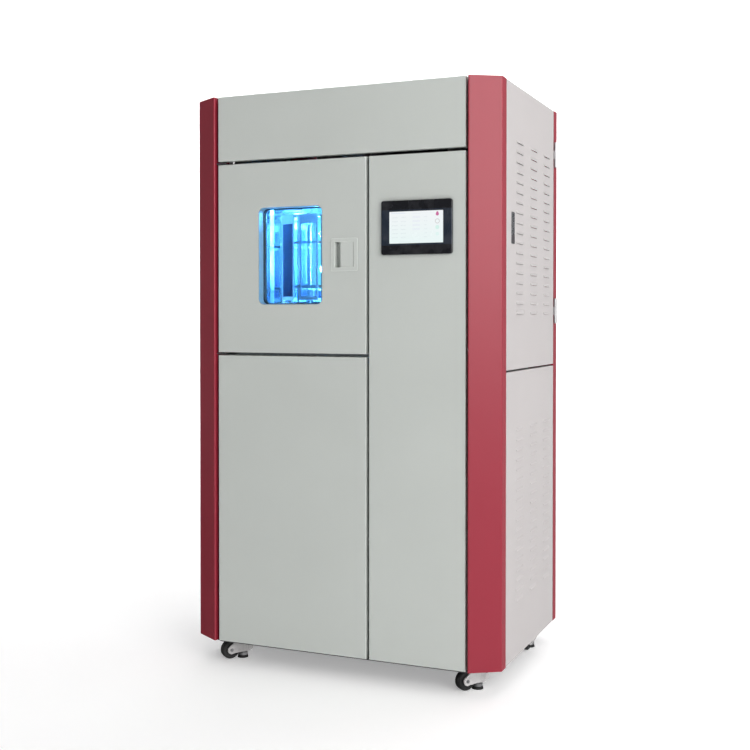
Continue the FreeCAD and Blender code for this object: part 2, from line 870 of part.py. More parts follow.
def pivot_brackets():
    """Plates on the left post, above and below the door, each with the pin that it turns on."""
    axis = (door_left + S.pivot_inset, front_y + S.pivot_setback)
    reach = S.pivot_pin * 2.5
    brackets = []
    gap = (S.door_gap - S.pivot_plate) / 2
    sunk = S.sheet + gap + S.pivot_pin
    for low, pin_low in (
        (door_base - gap - S.pivot_plate, door_base - gap),
        (door_top + gap, door_top + gap - sunk),
    ):
        near = (-tip_x, axis[1] - S.pivot_pin, low)
        far = (axis[0] + reach, axis[1] + reach * 2, low + S.pivot_plate)
        plate = span(near, far)
        pin = cylinder((axis[0], axis[1], pin_low), S.pivot_pin, sunk)
        brackets.append(fuse(plate, pin))
    part(group(*brackets), "door_pivots")


def louvred(label, low, tall, lip_base, lock=False):
    """A side panel: a tray of bent sheet with rows of louvres pressed outwards from its face."""
    body = Body(label, (side_x, side_front, low))
    long = side_length
    body.pad(body.outline("YZ", corners(0, 0, long, tall)), S.pan_depth, -1)
    body.fillet(S.bend_radius, lambda e: e.BoundBox.XMin > -1e-4)
    wall = S.sheet
    inner = corners(wall, wall, long - wall, tall - wall)
    body.pocket(body.outline("YZ", inner, -wall), S.pan_depth - wall, -1)
    if lock:
        left = S.lock_front + S.lock_flange
        base = S.lock_base + S.lock_flange
        right = S.lock_front + S.lock_width - S.lock_flange
        top = S.lock_base + S.lock_height - S.lock_flange
        body.pocket(body.outline("YZ", corners(left, base, right, top)), wall, -1)
        play = S.running_gap
        inside = -(S.lock_bolt_in + S.lock_bolt_width / 2 + play)
        reach = S.lock_bolt_height / 2 + play
        mid = S.lock_base + S.lock_height / 2
        width = S.lock_bolt_width + play * 2
        slot = corners(inside, mid - reach, inside + width, mid + reach)
        body.pocket(body.outline("XZ", slot), wall, 1)
    add_louvres(body, lip_base)
    return body.body


def add_louvres(body, lip_base):
    """One hood with its slot, repeated up the panel and along it."""
    long, tall, rise, wall = S.louvre_length, S.louvre_height, S.louvre_rise, S.sheet
    shape = (tall, rise, S.louvre_lip)
    hood = wedge(body, "PartDesign::AdditiveWedge", (0.0, lip_base), (0.0, long), shape)
    shape = (tall - wall, rise, wall / 8)
    ends = (wall, long - wall)
    slot = wedge(body, "PartDesign::SubtractiveWedge", (-wall, lip_base), ends, shape)
    rows = body.body.newObject("PartDesign::LinearPattern", "Rows")
    rows.Direction = (body.origin("Z_Axis"), [""])
    bind(rows, "Length", S.louvre_pitch * (S.louvre_rows - 1))
    bind(rows, "Occurrences", S.louvre_rows)
    columns = body.body.newObject("PartDesign::LinearPattern", "Columns")
    columns.Direction = (body.origin("Y_Axis"), [""])
    bind(columns, "Length", S.louvre_column_pitch * (S.louvre_columns - 1))
    bind(columns, "Occurrences", S.louvre_columns)
    pattern = body.body.newObject("PartDesign::MultiTransform", "Louvres")
    pattern.Originals = [hood, slot]
    pattern.Transformations = [rows, columns]
    body.body.Tip = pattern
    doc.recompute()


def wedge(body, kind, start, ends, shape):
    """A block that narrows outwards: the form of a louvre's hood, and of the hollow under it."""
    level, base = start
    tall, deep, lip = shape
    item = body.body.newObject(kind, "Hood")
    item.AttachmentSupport = [(body.origin("XY_Plane"), "")]
    item.MapMode = "FlatFace"
    far = S.louvre_front + S.louvre_length
    place(item, (level, far, base), Z_AXIS, -90, name="AttachmentOffset")
    sizes = {
        "Xmin": ends[0], "Xmax": ends[1], "Ymin": 0.0, "Ymax": deep, "Zmin": 0.0, "Zmax": tall,
        "X2min": ends[0] + S.louvre_taper, "X2max": ends[1] - S.louvre_taper,
        "Z2min": 0.0, "Z2max": lip,
    }
    for path, term in sizes.items():
        bind(item, path, term)
    doc.recompute()
    return item


def side_panels():
    upper_tall = top_z - side_upper_z
    lower_tall = side_lower_top - base_z
    louvred("side_door", side_upper_z, upper_tall, S.louvre_base_upper, True)
    twin = louvred(None, side_upper_z, upper_tall, S.louvre_base_upper)
    lower = louvred(None, base_z, lower_tall, S.louvre_base_lower)
    part(group(mirrored(twin, X_AXIS), lower, mirrored(lower, X_AXIS)), "fixed_side_panels")


def side_hinges():
    """Two butt hinges: one leaf on the rear post, the other in the gap on the door's edge."""
    axis_x = side_x + S.hinge_axis_out
    edge_y = side_front + side_length
    axis_y = edge_y + S.hinge_axis_back
    third = S.hinge_height / 3
    play = S.running_gap
    fixed, moving = [], []
    for i in range(2):
        low = side_upper_z + S.hinge_low + S.hinge_spacing * i - S.hinge_height / 2
        leaf_y = axis_y + S.hinge_barrel + play
        leaf_far = axis_y + S.hinge_leaf_width
        leaf = span((side_x, leaf_y, low), (side_x + S.hinge_leaf, leaf_far, low + S.hinge_height))
        pieces = [leaf]
        for base in (low, low + third * 2):
            pieces.append(cylinder((axis_x, axis_y, base), S.hinge_barrel, third))
            far = (side_x + S.hinge_leaf, leaf_far, base + third)
            pieces.append(span((side_x, axis_y, base), far))
        pieces.append(cylinder((axis_x, axis_y, low), S.hinge_pin, S.hinge_height))
        fixed.append(fuse(*pieces))
        base = low + third + play
        tall = third - play * 2
        barrel = cylinder((axis_x, axis_y, base), S.hinge_barrel, tall)
        near = (side_x - S.pan_depth + S.sheet, edge_y, base)
        plate = span(near, (axis_x, edge_y + S.hinge_leaf, base + tall))
        bore = cylinder((axis_x, axis_y, base), S.hinge_pin + play, tall)
        moving.append(cut(fuse(barrel, plate), bore))
    part(group(*fixed), "side_hinge_post_leaves")
    part(group(*moving), "side_hinge_door_leaves")


def side_lock():
    """A flush lock: a cup in the door, a lever hinged at its top, and a button below it."""
    corner = (side_x, side_front + S.lock_front, side_upper_z + S.lock_base)
    wide, tall, edge = S.lock_width, S.lock_height, S.lock_flange
    wall, play = S.sheet, S.running_gap
    body = Body("side_lock_cup", corner)
    body.pad(body.frame("YZ", (0, 0), (wide, tall), edge), S.lock_proud, 1)
    inner = edge + play
    sleeve = body.outline("YZ", corners(inner, inner, wide - inner, tall - inner))
    body.pad(sleeve, S.lock_depth, -1)
    inner = edge + play + wall
    hollow = corners(inner, inner, wide - inner, tall - inner)
    deep = S.lock_proud + S.lock_depth - wall
    body.pocket(body.outline("YZ", hollow, S.lock_proud), deep, -1)
    half = S.lever_thickness / 2
    axis_z = tall - inner - play - half
    bore = [(-half, axis_z, S.paddle_pin + play)]
    body.pocket(body.circles("XZ", bore), wide, 1)
    side = inner + play
    low = side + S.lock_button + play
    plate = shifted(corner, (-S.lever_thickness, side, low), (0.0, wide - side, axis_z))
    start = moved(corner, (-half, side, axis_z))
    knuckle = cylinder_y(start, half, wide - side * 2)
    start = moved(corner, (-half, edge + play, axis_z))
    pin = cylinder_y(start, S.paddle_pin, wide - (edge + play) * 2)
    part(fuse(plate, knuckle, pin), "side_lock_lever")
    back = -(S.lock_depth - wall - S.button_travel - play)
    button = shifted(corner, (back, side, side), (S.lock_proud, wide - side, side + S.lock_button))
    face = number(side_x + S.lock_proud) - 1e-4
    part(rounded(button, S.lock_proud, lambda e: e.BoundBox.XMin > face), "side_lock_button")
    nose = return_y + S.latch_clearance
    mid = corner[2] + tall / 2
    x = side_x - S.lock_bolt_in
    half_x, half_z = S.lock_bolt_width / 2, S.lock_bolt_height / 2
    far = (x + half_x, nose + S.lock_bolt_length, mid + half_z)
    part(span((x - half_x, nose, mid - half_z), far), "side_lock_bolt")


def rear_panels():
    """Two trays of sheet at the back, with plain cooling slots, and the exhaust opening in the upper."""
    split = lower_top
    panels = []
    for low, high, name in ((base_z, split, "lower"), (split + S.door_gap, top_z, "upper")):
        body = Body(None, (door_left, -front_y, low))
        wide, tall, wall = S.panel_span, high - low, S.sheet
        body.pad(body.outline("XZ", corners(0, 0, wide, tall)), S.pan_depth, -1)
        body.fillet(S.bend_radius, lambda e: e.BoundBox.YMin > -1e-4)
        inner = corners(wall, wall, wide - wall, tall - wall)
        body.pocket(body.outline("XZ", inner, -wall), S.pan_depth - wall, -1)
        slots = body.sketch("XZ")
        for row in range(8):
            for left in (S.vent_side, wide - S.vent_side - S.vent_length):
                z = S.vent_base + S.vent_pitch * row
                polygon(slots, corners(left, z, left + S.vent_length, z + S.vent_height))
        body.pocket(slots, wall, -1)
        if name == "upper":
            at = [(rack_x - door_left, exhaust_z - low, S.exhaust_radius + S.running_gap)]
        else:
            at = [(gland_x - door_left, gland_z - low, S.gland_radius + S.running_gap)]
        body.pocket(body.circles("XZ", at), wall, -1)
        panels.append(body.body)
    part(group(*panels), "rear_panels")


def structure():
    """The partition between the chamber side and the electrical bay, and the chamber's deck."""
    roof = top_z - S.roof_drop - S.sheet
    low = (partition_x, flange_y, base_z)
    part(span(low, (partition_x + S.sheet, -flange_y, roof)), "partition_wall")
    hole = cylinder((rack_x, rack_y, deck_z), S.spindle_radius + S.spindle_play, S.deck_thickness)
    deck = span((-inner_side_x, return_y, deck_z), (partition_x, -return_y, deck_z + S.deck_thickness))
    front = span((-tip_x, flange_y, deck_z), (partition_x, return_y, deck_z + S.deck_thickness))
    part(group(cut(fuse(deck, front), hole), motor_bracket()), "chamber_deck")


def chamber():
    """Stainless walls, floor and ceiling, and the frame round the mouth that carries the seal."""
    wall = S.liner_sheet
    front, back = liner_y, S.chamber_back
    left, right, low, high = chamber_left, chamber_right, floor_z, ceiling_z
    hole_radius = S.spindle_radius + S.spindle_play
    drive_hole = cylinder((rack_x, rack_y, low - wall), hole_radius, wall)
    floor = cut(span((left, front, low - wall), (right, back, low)), drive_hole)
    lamp_hole = cylinder((rack_x, rack_y, high), S.filter_radius + S.running_gap, wall)
    ceiling = cut(span((left, front, high), (right, back, high + wall)), lamp_hole)
    left_wall = span((left - wall, front, low - wall), (left, back + wall, high + wall))
    right_wall = span((right, front, low - wall), (right + wall, back + wall, high + wall))
    back_wall = span((left, back, low - wall), (right, back + wall, high + wall))
    slots = []
    for row in range(5):
        step = S.vent_base / 2 + S.vent_pitch / 2 * row
        for z in (low + step, high - step):
            for side in (-1, 1):
                x = rack_x + side * S.vent_length / 2 * 1.2 - S.vent_length / 2
                far = (x + S.vent_length, back + wall, z + S.vent_height)
                slots.append(span((x, back, z), far))
    air_hole = cylinder_y((rack_x, back, blower_z), S.inlet_radius, wall)
    back_wall = cut(back_wall, *slots, air_hole)
    bar, side = S.frame_bar, S.frame_side
    outer = span((left - side, frame_y, low - bar), (right + side, liner_y, high + bar))
    inner = span((left, frame_y, low), (right, liner_y, high))
    mouth = cut(outer, inner)
    part(group(floor, ceiling, left_wall, right_wall, back_wall, mouth), "chamber_walls")
    rim = S.gasket_width
    seal_y = frame_y - S.gasket_thickness
    outer = span((left - rim, seal_y, low - rim), (right + rim, frame_y, high + rim))
    inner = span((left, seal_y, low), (right, frame_y, high))
    part(cut(outer, inner), "chamber_seal")


def about_rack(shape, z, angle):
    """Turns a shape that was made at the rack's axis to its station."""
    turned = doc.addObject("Part::Compound", "Station")
    turned.Links = [shape]
    return place(turned, (rack_x, rack_y, z), Z_AXIS, angle)


def specimen_rack():
    """Hoops welded to upright rods, over a spoked hub on the spindle that carries the gear."""
    radius, band = S.rack_radius, S.hoop_thickness
    pieces = []
    for z in (hoop_z, floor_z + S.hoop_mid, floor_z + S.hoop_upper, hoop_top_z):
        ring = cylinder((rack_x, rack_y, z), radius, S.hoop_height)
        hollow = cylinder((rack_x, rack_y, z), radius - band, S.hoop_height)
        pieces.append(cut(ring, hollow))
    tall = hoop_top_z + S.hoop_height - hoop_z
    stations = int(number(S.rack_stations))
    inner = radius - band - S.rod_thickness / 2
    for i in range(stations):
        rod = box((inner, -S.rod_width / 2, 0.0), (S.rod_thickness, S.rod_width, tall))
        pieces.append(about_rack(rod, hoop_z, number(S.rod_turn) + 360 / stations * i))
    spokes = int(number(S.rack_spokes))
    for i in range(spokes):
        size = (radius - band / 2, S.hoop_height, S.hoop_thickness)
        bar = box((0.0, -S.hoop_height / 2, 0.0), size)
        pieces.append(about_rack(bar, hoop_z, number(S.rod_turn) + 360 / spokes * i))
    hub_low = hoop_z - S.hub_height + S.hoop_thickness
    hub = cylinder((rack_x, rack_y, hub_low), S.hub_radius, S.hub_height)
    spindle = cylinder((rack_x, rack_y, gear_z), S.spindle_radius, hoop_z - gear_z)
    wheel = gear(None, rack_x, rack_y, gear_z, S.rack_teeth, S.spindle_radius, 0.0).body
    part(group(fuse(*pieces, hub, spindle), wheel), "specimen_rack")


def specimen_holders():
    """Flat plates outside the hoops, each with a hook over the top one. Two stations are empty."""
    stations = int(number(S.rack_stations))
    empty = (int(number(S.empty_first)), int(number(S.empty_second)))
    top = hoop_top_z + S.hoop_height
    face = S.rack_radius + S.running_gap
    reach = S.hoop_thickness + S.running_gap * 2
    holders = []
    for i in range(stations):
        if i in empty:
            continue
        size = (S.holder_thickness, S.holder_width, S.holder_height + S.running_gap)
        plate = box((face, -S.holder_width / 2, -S.holder_height), size)
        half = S.hook_width / 2
        tab = span((face - reach, -half, S.running_gap), (face, half, S.hook_thickness))
        rise = span((face, -half, 0.0), (face + S.holder_thickness, half, S.hook_thickness))
        angle = number(S.holder_turn) + 360 / stations * i
        holders.append(about_rack(fuse(plate, tab, rise), top, angle))
    part(group(*holders), "specimen_holders")


def gear(label, x, y, z, teeth, bore, turn):
    """A spur gear with straight-sided teeth and running clearance, on a plain shaft."""
    body = Body(label, (x, y, z), Z_AXIS, turn)
    module = S.gear_module
    pitch = module * teeth / 2
    root, tip = pitch - module * 1.25, pitch + module * 0.8
    rim = body.circles("XY", [(0, 0, root)])
    body.pad(rim, S.gear_face, 1)
    wide, narrow = module * 1.0, module * 0.4
    foot = root - module / 2
    tooth = [(foot, -wide), (tip, -narrow), (tip, narrow), (foot, wide)]
    first = body.pad(body.outline("XY", tooth), S.gear_face, 1)
    body.polar([first], "Z", teeth)
    body.pocket(body.circles("XY", [(0, 0, bore)]), S.gear_face, 1)
    return body


def motor_bracket():
    """A U of sheet under the deck, with the gearmotor bolted below its web."""
    half = S.motor_size / 2
    thick = S.motor_bracket
    low = motor_plate_z - thick
    near = (pinion_x - half, rack_y - half, low)
    plate = span(near, (pinion_x + half, rack_y + half, motor_plate_z))
    bore = cylinder((pinion_x, rack_y, low), S.motor_shaft + S.running_gap, thick)
    ears = []
    clear_x = pinion_x - half / 2
    for y in (rack_y - half - thick, rack_y + half):
        ears.append(span((clear_x, y, low), (pinion_x + half, y + thick, deck_z)))
    return fuse(cut(plate, bore), *ears)


def rack_drive():
    """The gearmotor under the bracket, and the pinion that turns the rack's gear."""
    x = pinion_x
    half_tooth = 180.0 / number(S.pinion_teeth)
    pinion = gear(None, x, rack_y, gear_z, S.pinion_teeth, S.motor_shaft, half_tooth).body
    plate_z = motor_plate_z
    shaft_low = plate_z - S.motor_bracket * 2 + S.running_gap
    shaft = cylinder((x, rack_y, shaft_low), S.motor_shaft, gear_z + S.gear_face - shaft_low)
    part(group(pinion, shaft), "motor_pinion")
    half = S.motor_size / 2
    thick = S.motor_bracket
    low = plate_z - thick - S.motor_length
    case = span((x - half, rack_y - half, low), (x + half, rack_y + half, plate_z - thick))
    seat = cylinder((x, rack_y, plate_z - thick * 2), S.motor_shaft + S.running_gap, thick)
    trim = S.motor_size / 8
    case = rounded(case, trim, lambda e: runs_along(e, "z"))
    part(cut(case, seat), "rack_motor")


def lamp():
    """The burner stands in a glass filter cylinder that hangs from the lamp head in the ceiling."""
    top = ceiling_z + S.liner_sheet
    roof = top + S.filter_sunk
    outer = cylinder((rack_x, rack_y, top), S.head_radius, S.head_height - S.head_step)
    inner = cylinder((rack_x, rack_y, top), S.head_radius - S.head_step, S.head_height)
    bore = cylinder((rack_x, rack_y, top), S.filter_radius + S.running_gap, S.filter_sunk)
    head = cut(fuse(outer, inner), bore)
    foot = roof - S.lamp_length - S.lamp_cap_length * 2
    caps = [
        cylinder((rack_x, rack_y, foot - S.filter_foot), S.filter_radius, S.filter_foot),
        cylinder((rack_x, rack_y, foot), S.lamp_cap, S.lamp_cap_length),
        cylinder((rack_x, rack_y, roof - S.lamp_cap_length), S.lamp_cap, S.lamp_cap_length),
    ]
    part(group(head, fuse(caps[0], caps[1]), caps[2]), "lamp_head")
    low = foot + S.lamp_cap_length
    part(cylinder((rack_x, rack_y, low), S.lamp_radius, S.lamp_length), "lamp_tube")
    glass = cylinder((rack_x, rack_y, foot), S.filter_radius, roof - foot)
    inside = cylinder((rack_x, rack_y, foot), S.filter_radius - S.filter_wall, roof - foot)
    part(cut(glass, inside), "lamp_filter")


def blower():
    """A drum fan behind the chamber's back wall, its motor behind it, and the exhaust above."""
    y = S.chamber_back + S.liner_sheet
    wall = S.blower_wall
    centre = (rack_x, y, blower_z)
    shell = cylinder_y(centre, S.blower_radius, S.blower_width)
    hollow = cylinder_y(centre, S.blower_radius - wall, S.blower_width - wall)
    hole = S.motor_shaft + S.running_gap
    far = y + S.blower_width - S.blower_wall
    bore = cylinder_y((rack_x, far, blower_z), hole, S.blower_wall)
    part(cut(shell, hollow, bore), "blower_housing")
    deep = S.blower_width - S.blower_wall - S.impeller_play * 2
    start = y + S.impeller_play
    body = Body("blower_impeller", (rack_x, start + deep, blower_z), X_AXIS, 90)
    body.pad(body.circles("XY", [(0, 0, S.impeller_radius)]), S.blower_wall, 1)
    body.pad(body.circles("XY", [(0, 0, S.motor_shaft * 2)]), deep / 2, 1)
    inner = S.impeller_radius * 0.74
    thick = S.blower_wall
    lean = S.impeller_radius * 0.12
    tip = S.impeller_radius
    blade = [(inner, -thick / 2), (tip, lean), (tip, lean + thick), (inner, thick / 2)]
    vane = body.pad(body.outline("XY", blade), deep, 1)
    body.polar([vane], "Z", S.impeller_blades)
    back = y + S.blower_width
    long = S.blower_motor_length
    case = cylinder_y((rack_x, back, blower_z), S.blower_motor_radius, long - S.motor_cap_length)
    cap = cylinder_y((rack_x, back, blower_z), S.motor_cap, long)
    axle_low = start + deep + S.running_gap
    axle = cylinder_y((rack_x, axle_low, blower_z), S.motor_shaft, back - axle_low)
    part(fuse(case, cap, axle), "blower_motor")
    rear = -front_y
    tube_y = rear + S.sheet - S.exhaust_length
    radius = S.exhaust_radius
    long = S.exhaust_length + S.post_tip
    tube = cylinder_y((rack_x, tube_y, exhaust_z), radius, long - S.sheet * 2)
    ring = cylinder_y((rack_x, rear, exhaust_z), radius + S.exhaust_flange, S.sheet)
    way = cylinder_y((rack_x, tube_y, exhaust_z), radius - S.exhaust_wall, long)
    part(cut(fuse(tube, ring), way), "exhaust_collar")


def electrical_bay():
    """What the side door gives access to: a plate on the partition with two rails of devices."""
    face = plate_x + S.plate_sheet
    plate = span(
        (plate_x, -S.plate_half, plate_low),
        (face, S.plate_half, plate_low + S.plate_height),
    )
    studs = []
    edge = S.plate_gap * 2
    for y in (-S.plate_half + edge, S.plate_half - edge):
        for z in (plate_low + edge, plate_low + S.plate_height - edge):
            studs.append(cylinder_x((plate_x - S.plate_gap, y, z), S.plate_gap / 2, S.plate_gap))
    carrier = fuse(plate, *studs)
    front = face + S.rail_depth
    half = S.rail_length / 2
    rails = []
    for z in (rail_upper_z, rail_lower_z):
        low = z - S.rail_height / 2
        rails.append(span((face, -half, low), (front, half, low + S.rail_height)))
    part(group(carrier, *rails), "mounting_plate")
    start = -half + S.plate_gap
    breakers = row_of(
        S.breaker_count, start, S.breaker_pitch, rail_upper_z, front,
        S.breaker_depth, S.breaker_pitch - S.running_gap, S.breaker_height, True,
    )
    part(group(*breakers), "circuit_breakers")
    after = start + S.breaker_pitch * S.breaker_count + S.plate_gap
    contactors = row_of(
        S.contactor_count, after, S.contactor_pitch, rail_upper_z, front,
        S.contactor_depth, S.contactor_width, S.contactor_height, False,
    )
    part(group(*contactors), "contactors")
    terminals = row_of(
        S.terminal_count, start, S.terminal_pitch, rail_lower_z, front,
        S.terminal_depth, S.terminal_width, S.terminal_height, False,
    )
    part(group(*terminals), "terminal_blocks")
    y = start + S.terminal_pitch * S.terminal_count + S.plate_gap
    low = rail_lower_z - S.controller_height / 2
    unit = span(
        (front, y, low),
        (front + S.controller_depth, y + S.controller_length, low + S.controller_height),
    )
    part(rounded(unit, S.bend_radius, lambda e: e.BoundBox.XMin > number(front) + 1), "controller")


def row_of(count, start, pitch, rail_z, front, deep, wide, tall, toggles):
    """Devices side by side on a rail, with a stepped nose, and a toggle on each breaker."""
    devices = []
    for i in range(int(number(count))):
        y = start + pitch * i
        low = rail_z - tall / 2
        block = span((front, y, low), (front + deep * 0.7, y + wide, low + tall))
        nose = span((front, y, low + tall / 4), (front + deep, y + wide, low + tall * 0.75))
        pieces = [block, nose]
        if toggles:
            side = wide / 4
            near = (front + deep, y + side, rail_z)
            pieces.append(span(near, (front + deep * 1.1, y + wide - side, rail_z + tall / 8)))
        devices.append(fuse(*pieces))
    return devices


def lower_bay():
    """The lamp's power supply and the humidifier's water tank stand on the base plate."""
    left = -inner_side_x + S.plate_gap * 3
    y = -S.supply_length / 2
    case = box((left, y, base_z), (S.supply_width, S.supply_length, S.supply_height))
    part(rounded(case, S.bend_radius, lambda e: runs_along(e, "z")), "lamp_power_supply")
    x = left + S.supply_width + S.plate_gap * 3
    y = -S.tank_length / 2
    case = box((x, y, base_z), (S.tank_width, S.tank_length, S.tank_height))
    foot = number(base_z) + 1
    case = rounded(case, S.tank_round, lambda e: e.BoundBox.ZMax > foot)
    top = base_z + S.tank_height
    cap = cylinder((x + S.tank_width / 2, y + S.tank_width / 2, top), S.cap_radius, S.cap_height)
    part(fuse(case, cap), "water_tank")
    top = ceiling_z + S.liner_sheet
    x = rack_x + S.head_radius + S.plate_gap
    unit = box((x, rack_y, top), (S.igniter_width, S.igniter_length, S.igniter_height))
    part(rounded(unit, S.bend_radius, lambda e: e.BoundBox.ZMin > number(top) + 1), "lamp_igniter")
    x = chamber_left
    z = ceiling_z - S.blower_drop
    probe = cylinder_x((x, rack_y, z), S.probe_radius, S.probe_length - S.running_gap)
    nut = cylinder_x((x, rack_y, z), S.probe_radius * 2.5, S.probe_radius * 2)
    part(fuse(probe, nut), "temperature_probe")
    x, z = gland_x, gland_z
    gland = cylinder_y((x, -front_y, z), S.gland_radius * 1.3, S.post_tip - S.sheet)
    entry = cylinder_y((x, -front_y - S.gland_length, z), S.gland_radius, S.gland_length)
    part(fuse(gland, entry), "cable_gland")


def casters():
    """Four levelling casters: a swivelling fork under a plate, and a pad on the stem through it."""
    front, rear = S.caster_front_turn, S.caster_rear_turn
    spots = {
        "front_left": (-S.caster_left_x, -S.caster_front_y, front),
        "front_right": (S.caster_right_x, -S.caster_front_y, front),
        "rear_left": (-S.caster_rear_x, S.caster_rear_y, rear),
        "rear_right": (S.caster_rear_x, S.caster_rear_y, rear),
    }
    under = base_z - S.base_thickness
    plate_z = under - S.caster_plate_thickness
    stems, pads = [], []
    for name, (x, y, turn) in spots.items():
        stems.extend(caster_stem(x, y, under, plate_z))
        pads.append(levelling_pad(x, y))
        caster_fork(f"{name}_caster", x, y, number(turn), plate_z)
        caster_wheel(f"{name}_wheel", x, y, number(turn))
    part(group(*stems), "caster_stems")
    part(group(*pads), "levelling_pads")


def caster_stem(x, y, under, plate_z):
    """The square mounting plate, the threaded stem through it, and the dial that turns the stem."""
    half, play = S.caster_plate, S.running_gap
    plate = span((x - half, y - half, plate_z), (x + half, y + half, under))
    hole = cylinder((x, y, plate_z), S.stem_radius + play, S.caster_plate_thickness)
    stem = cylinder((x, y, S.pad_height), S.stem_radius, under - S.pad_height)
    dial = cylinder((x, y, S.pad_height), S.dial_radius, S.dial_height)
    bore = cylinder((x, y, S.pad_height), S.stem_radius + play, S.dial_height)
    return [cut(plate, hole), stem, cut(dial, bore)]


def levelling_pad(x, y):
    pad = doc.addObject("Part::Cone", "Pad")
    bind(pad, "Radius1", S.pad_radius)
    bind(pad, "Radius2", S.pad_radius - S.pad_taper)
    bind(pad, "Height", S.pad_height)
    return place(pad, (x, y, 0.0))


def caster_fork(label, x, y, turn, plate_z):
    """A cast fork: a crown under the plate, a ribbed block round the stem, and two cheeks."""
    body = Body(label, (x, y, 0.0), Z_AXIS, turn)
    inner = S.wheel_width / 2 + S.fork_clearance
    outer = inner + S.fork_wall
    top = plate_z - S.running_gap
    low = top - S.crown_height
    body.pad(body.circles("XY", [(0, 0, S.crown_radius)], low), S.crown_height, 1)
    base, slant = S.block_base, S.block_slant
    block = [
        (-S.block_back + slant, base),
        (S.block_front, base),
        (S.block_front, low),
        (-S.block_back, low),
        (-S.block_back, base + slant / 2),
    ]
    body.pad(body.outline("XZ", block, -outer), outer * 2, 1)
    cheeks(body, inner, low)
    grooves(body, outer, low)
    bore = body.circles("XY", [(0, 0, S.stem_radius + S.running_gap)])
    body.pocket(bore, top, 1)
    axle_z = S.wheel_radius + S.wheel_lift
    axle = body.circles("XZ", [(S.caster_trail, axle_z, S.axle_radius)], -outer)
    body.pad(axle, outer * 2, 1)


def cheeks(body, inner, low):
    """The two sides of the fork, with a rounded end about the axle."""
    trail, rim = S.caster_trail, S.fork_round
    axle_z = S.wheel_radius + S.wheel_lift
    shape = [(S.block_front, S.block_base), (S.block_front, low), (S.crown_radius, low)]
    for angle in range(60, -121, -20):
        turn = math.radians(angle)
        shape.append((trail + rim * math.cos(turn), axle_z + rim * math.sin(turn)))
    for side in (-1, 1):
        start = inner if side > 0 else -inner
        body.pad(body.outline("XZ", shape, start), S.fork_wall, side)


def grooves(body, outer, low):
    """Upright grooves in both faces of the block, which leave ribs between them."""
    top, base = low - S.rib_groove, S.block_base + S.block_slant / 2
    for side in (-1, 1):
        drawing = body.sketch("XZ", outer * side)
        for i in range(int(number(S.block_ribs))):
            left = S.block_front / 2 - S.rib_pitch * (i + 1)
            polygon(drawing, corners(left, base, left + S.rib_groove, top))
        body.pocket(drawing, S.rib_depth, -side)


def caster_wheel(label, x, y, turn):
    """A turned wheel with a chamfered tread and a raised hub, running on the fork's axle."""
    across, along = math.cos(math.radians(turn)), math.sin(math.radians(turn))
    axle_z = S.wheel_radius + S.wheel_lift
    spot = (x + S.caster_trail * across, y + S.caster_trail * along, axle_z)
    body = Body(label, spot, Z_AXIS, turn)
    half, radius, bore = S.wheel_width / 2, S.wheel_radius, S.axle_radius + S.running_gap
    hub, chamfer = S.hub_cap_radius, S.wheel_chamfer
    web = half - chamfer / 2
    rim = radius - S.wheel_rim
    side = [
        (bore, half), (hub, half), (hub, web), (rim, web),
        (rim, half), (radius - chamfer, half), (radius, half - chamfer),
    ]
    profile = side + [(reach, -level) for reach, level in reversed(side)]
    body.revolve(body.outline("XY", profile), "Y")


def export():
    doc.recompute()
    for obj in doc.Objects:
        if {"Invalid", "Error"} & set(obj.State):
            sizes = [getattr(obj, size, None) for size in ("Length", "Width", "Height")]
            raise ValueError(f"{obj.Label} ({obj.Name}) is {obj.State}: {sizes}")
    os.makedirs("parts", exist_ok=True)
    for obj in PARTS:
        shape = obj.Shape
        if shape.isNull() or not shape.isValid():
            raise ValueError(f"{obj.Label} has no valid shape")
        shape.exportStep(f"parts/{obj.Label}.step")


base_plate()
part(group(corner_post(-1, 1), corner_post(1, 1)), "front_posts")
part(group(corner_post(-1, -1), corner_post(1, -1)), "rear_posts")
roof_panel()
front_panels()
operator_panel()
chamber_door()
door_liner()
window_panes()
door_handle()
pivot_brackets()
side_panels()
side_hinges()
side_lock()
rear_panels()
structure()
chamber()
specimen_rack()
specimen_holders()
rack_drive()
lamp()
blower()
electrical_bay()
lower_bay()
casters()
export()
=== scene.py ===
import json
import math

import bmesh
import bpy
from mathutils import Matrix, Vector


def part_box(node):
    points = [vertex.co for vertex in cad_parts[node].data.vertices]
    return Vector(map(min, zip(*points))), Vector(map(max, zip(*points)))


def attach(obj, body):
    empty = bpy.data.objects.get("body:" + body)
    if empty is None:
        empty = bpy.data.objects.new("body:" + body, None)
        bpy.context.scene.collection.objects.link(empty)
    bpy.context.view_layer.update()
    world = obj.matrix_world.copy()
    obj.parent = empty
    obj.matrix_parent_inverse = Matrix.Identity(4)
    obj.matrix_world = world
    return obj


# Light fastness tester: the looks of a free-standing test cabinet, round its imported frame.
# Metres, X to the right, Y to the back, Z up, the origin on the floor under the middle.

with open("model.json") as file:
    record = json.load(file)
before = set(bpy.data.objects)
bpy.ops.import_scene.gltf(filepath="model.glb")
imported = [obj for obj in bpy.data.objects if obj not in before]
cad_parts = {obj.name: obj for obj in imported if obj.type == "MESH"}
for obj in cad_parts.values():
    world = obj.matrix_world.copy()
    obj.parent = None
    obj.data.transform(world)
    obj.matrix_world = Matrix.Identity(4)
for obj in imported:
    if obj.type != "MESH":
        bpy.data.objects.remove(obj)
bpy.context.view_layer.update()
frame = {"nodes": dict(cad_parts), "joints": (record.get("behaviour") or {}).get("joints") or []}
nodes = frame["nodes"]


# Node materials.

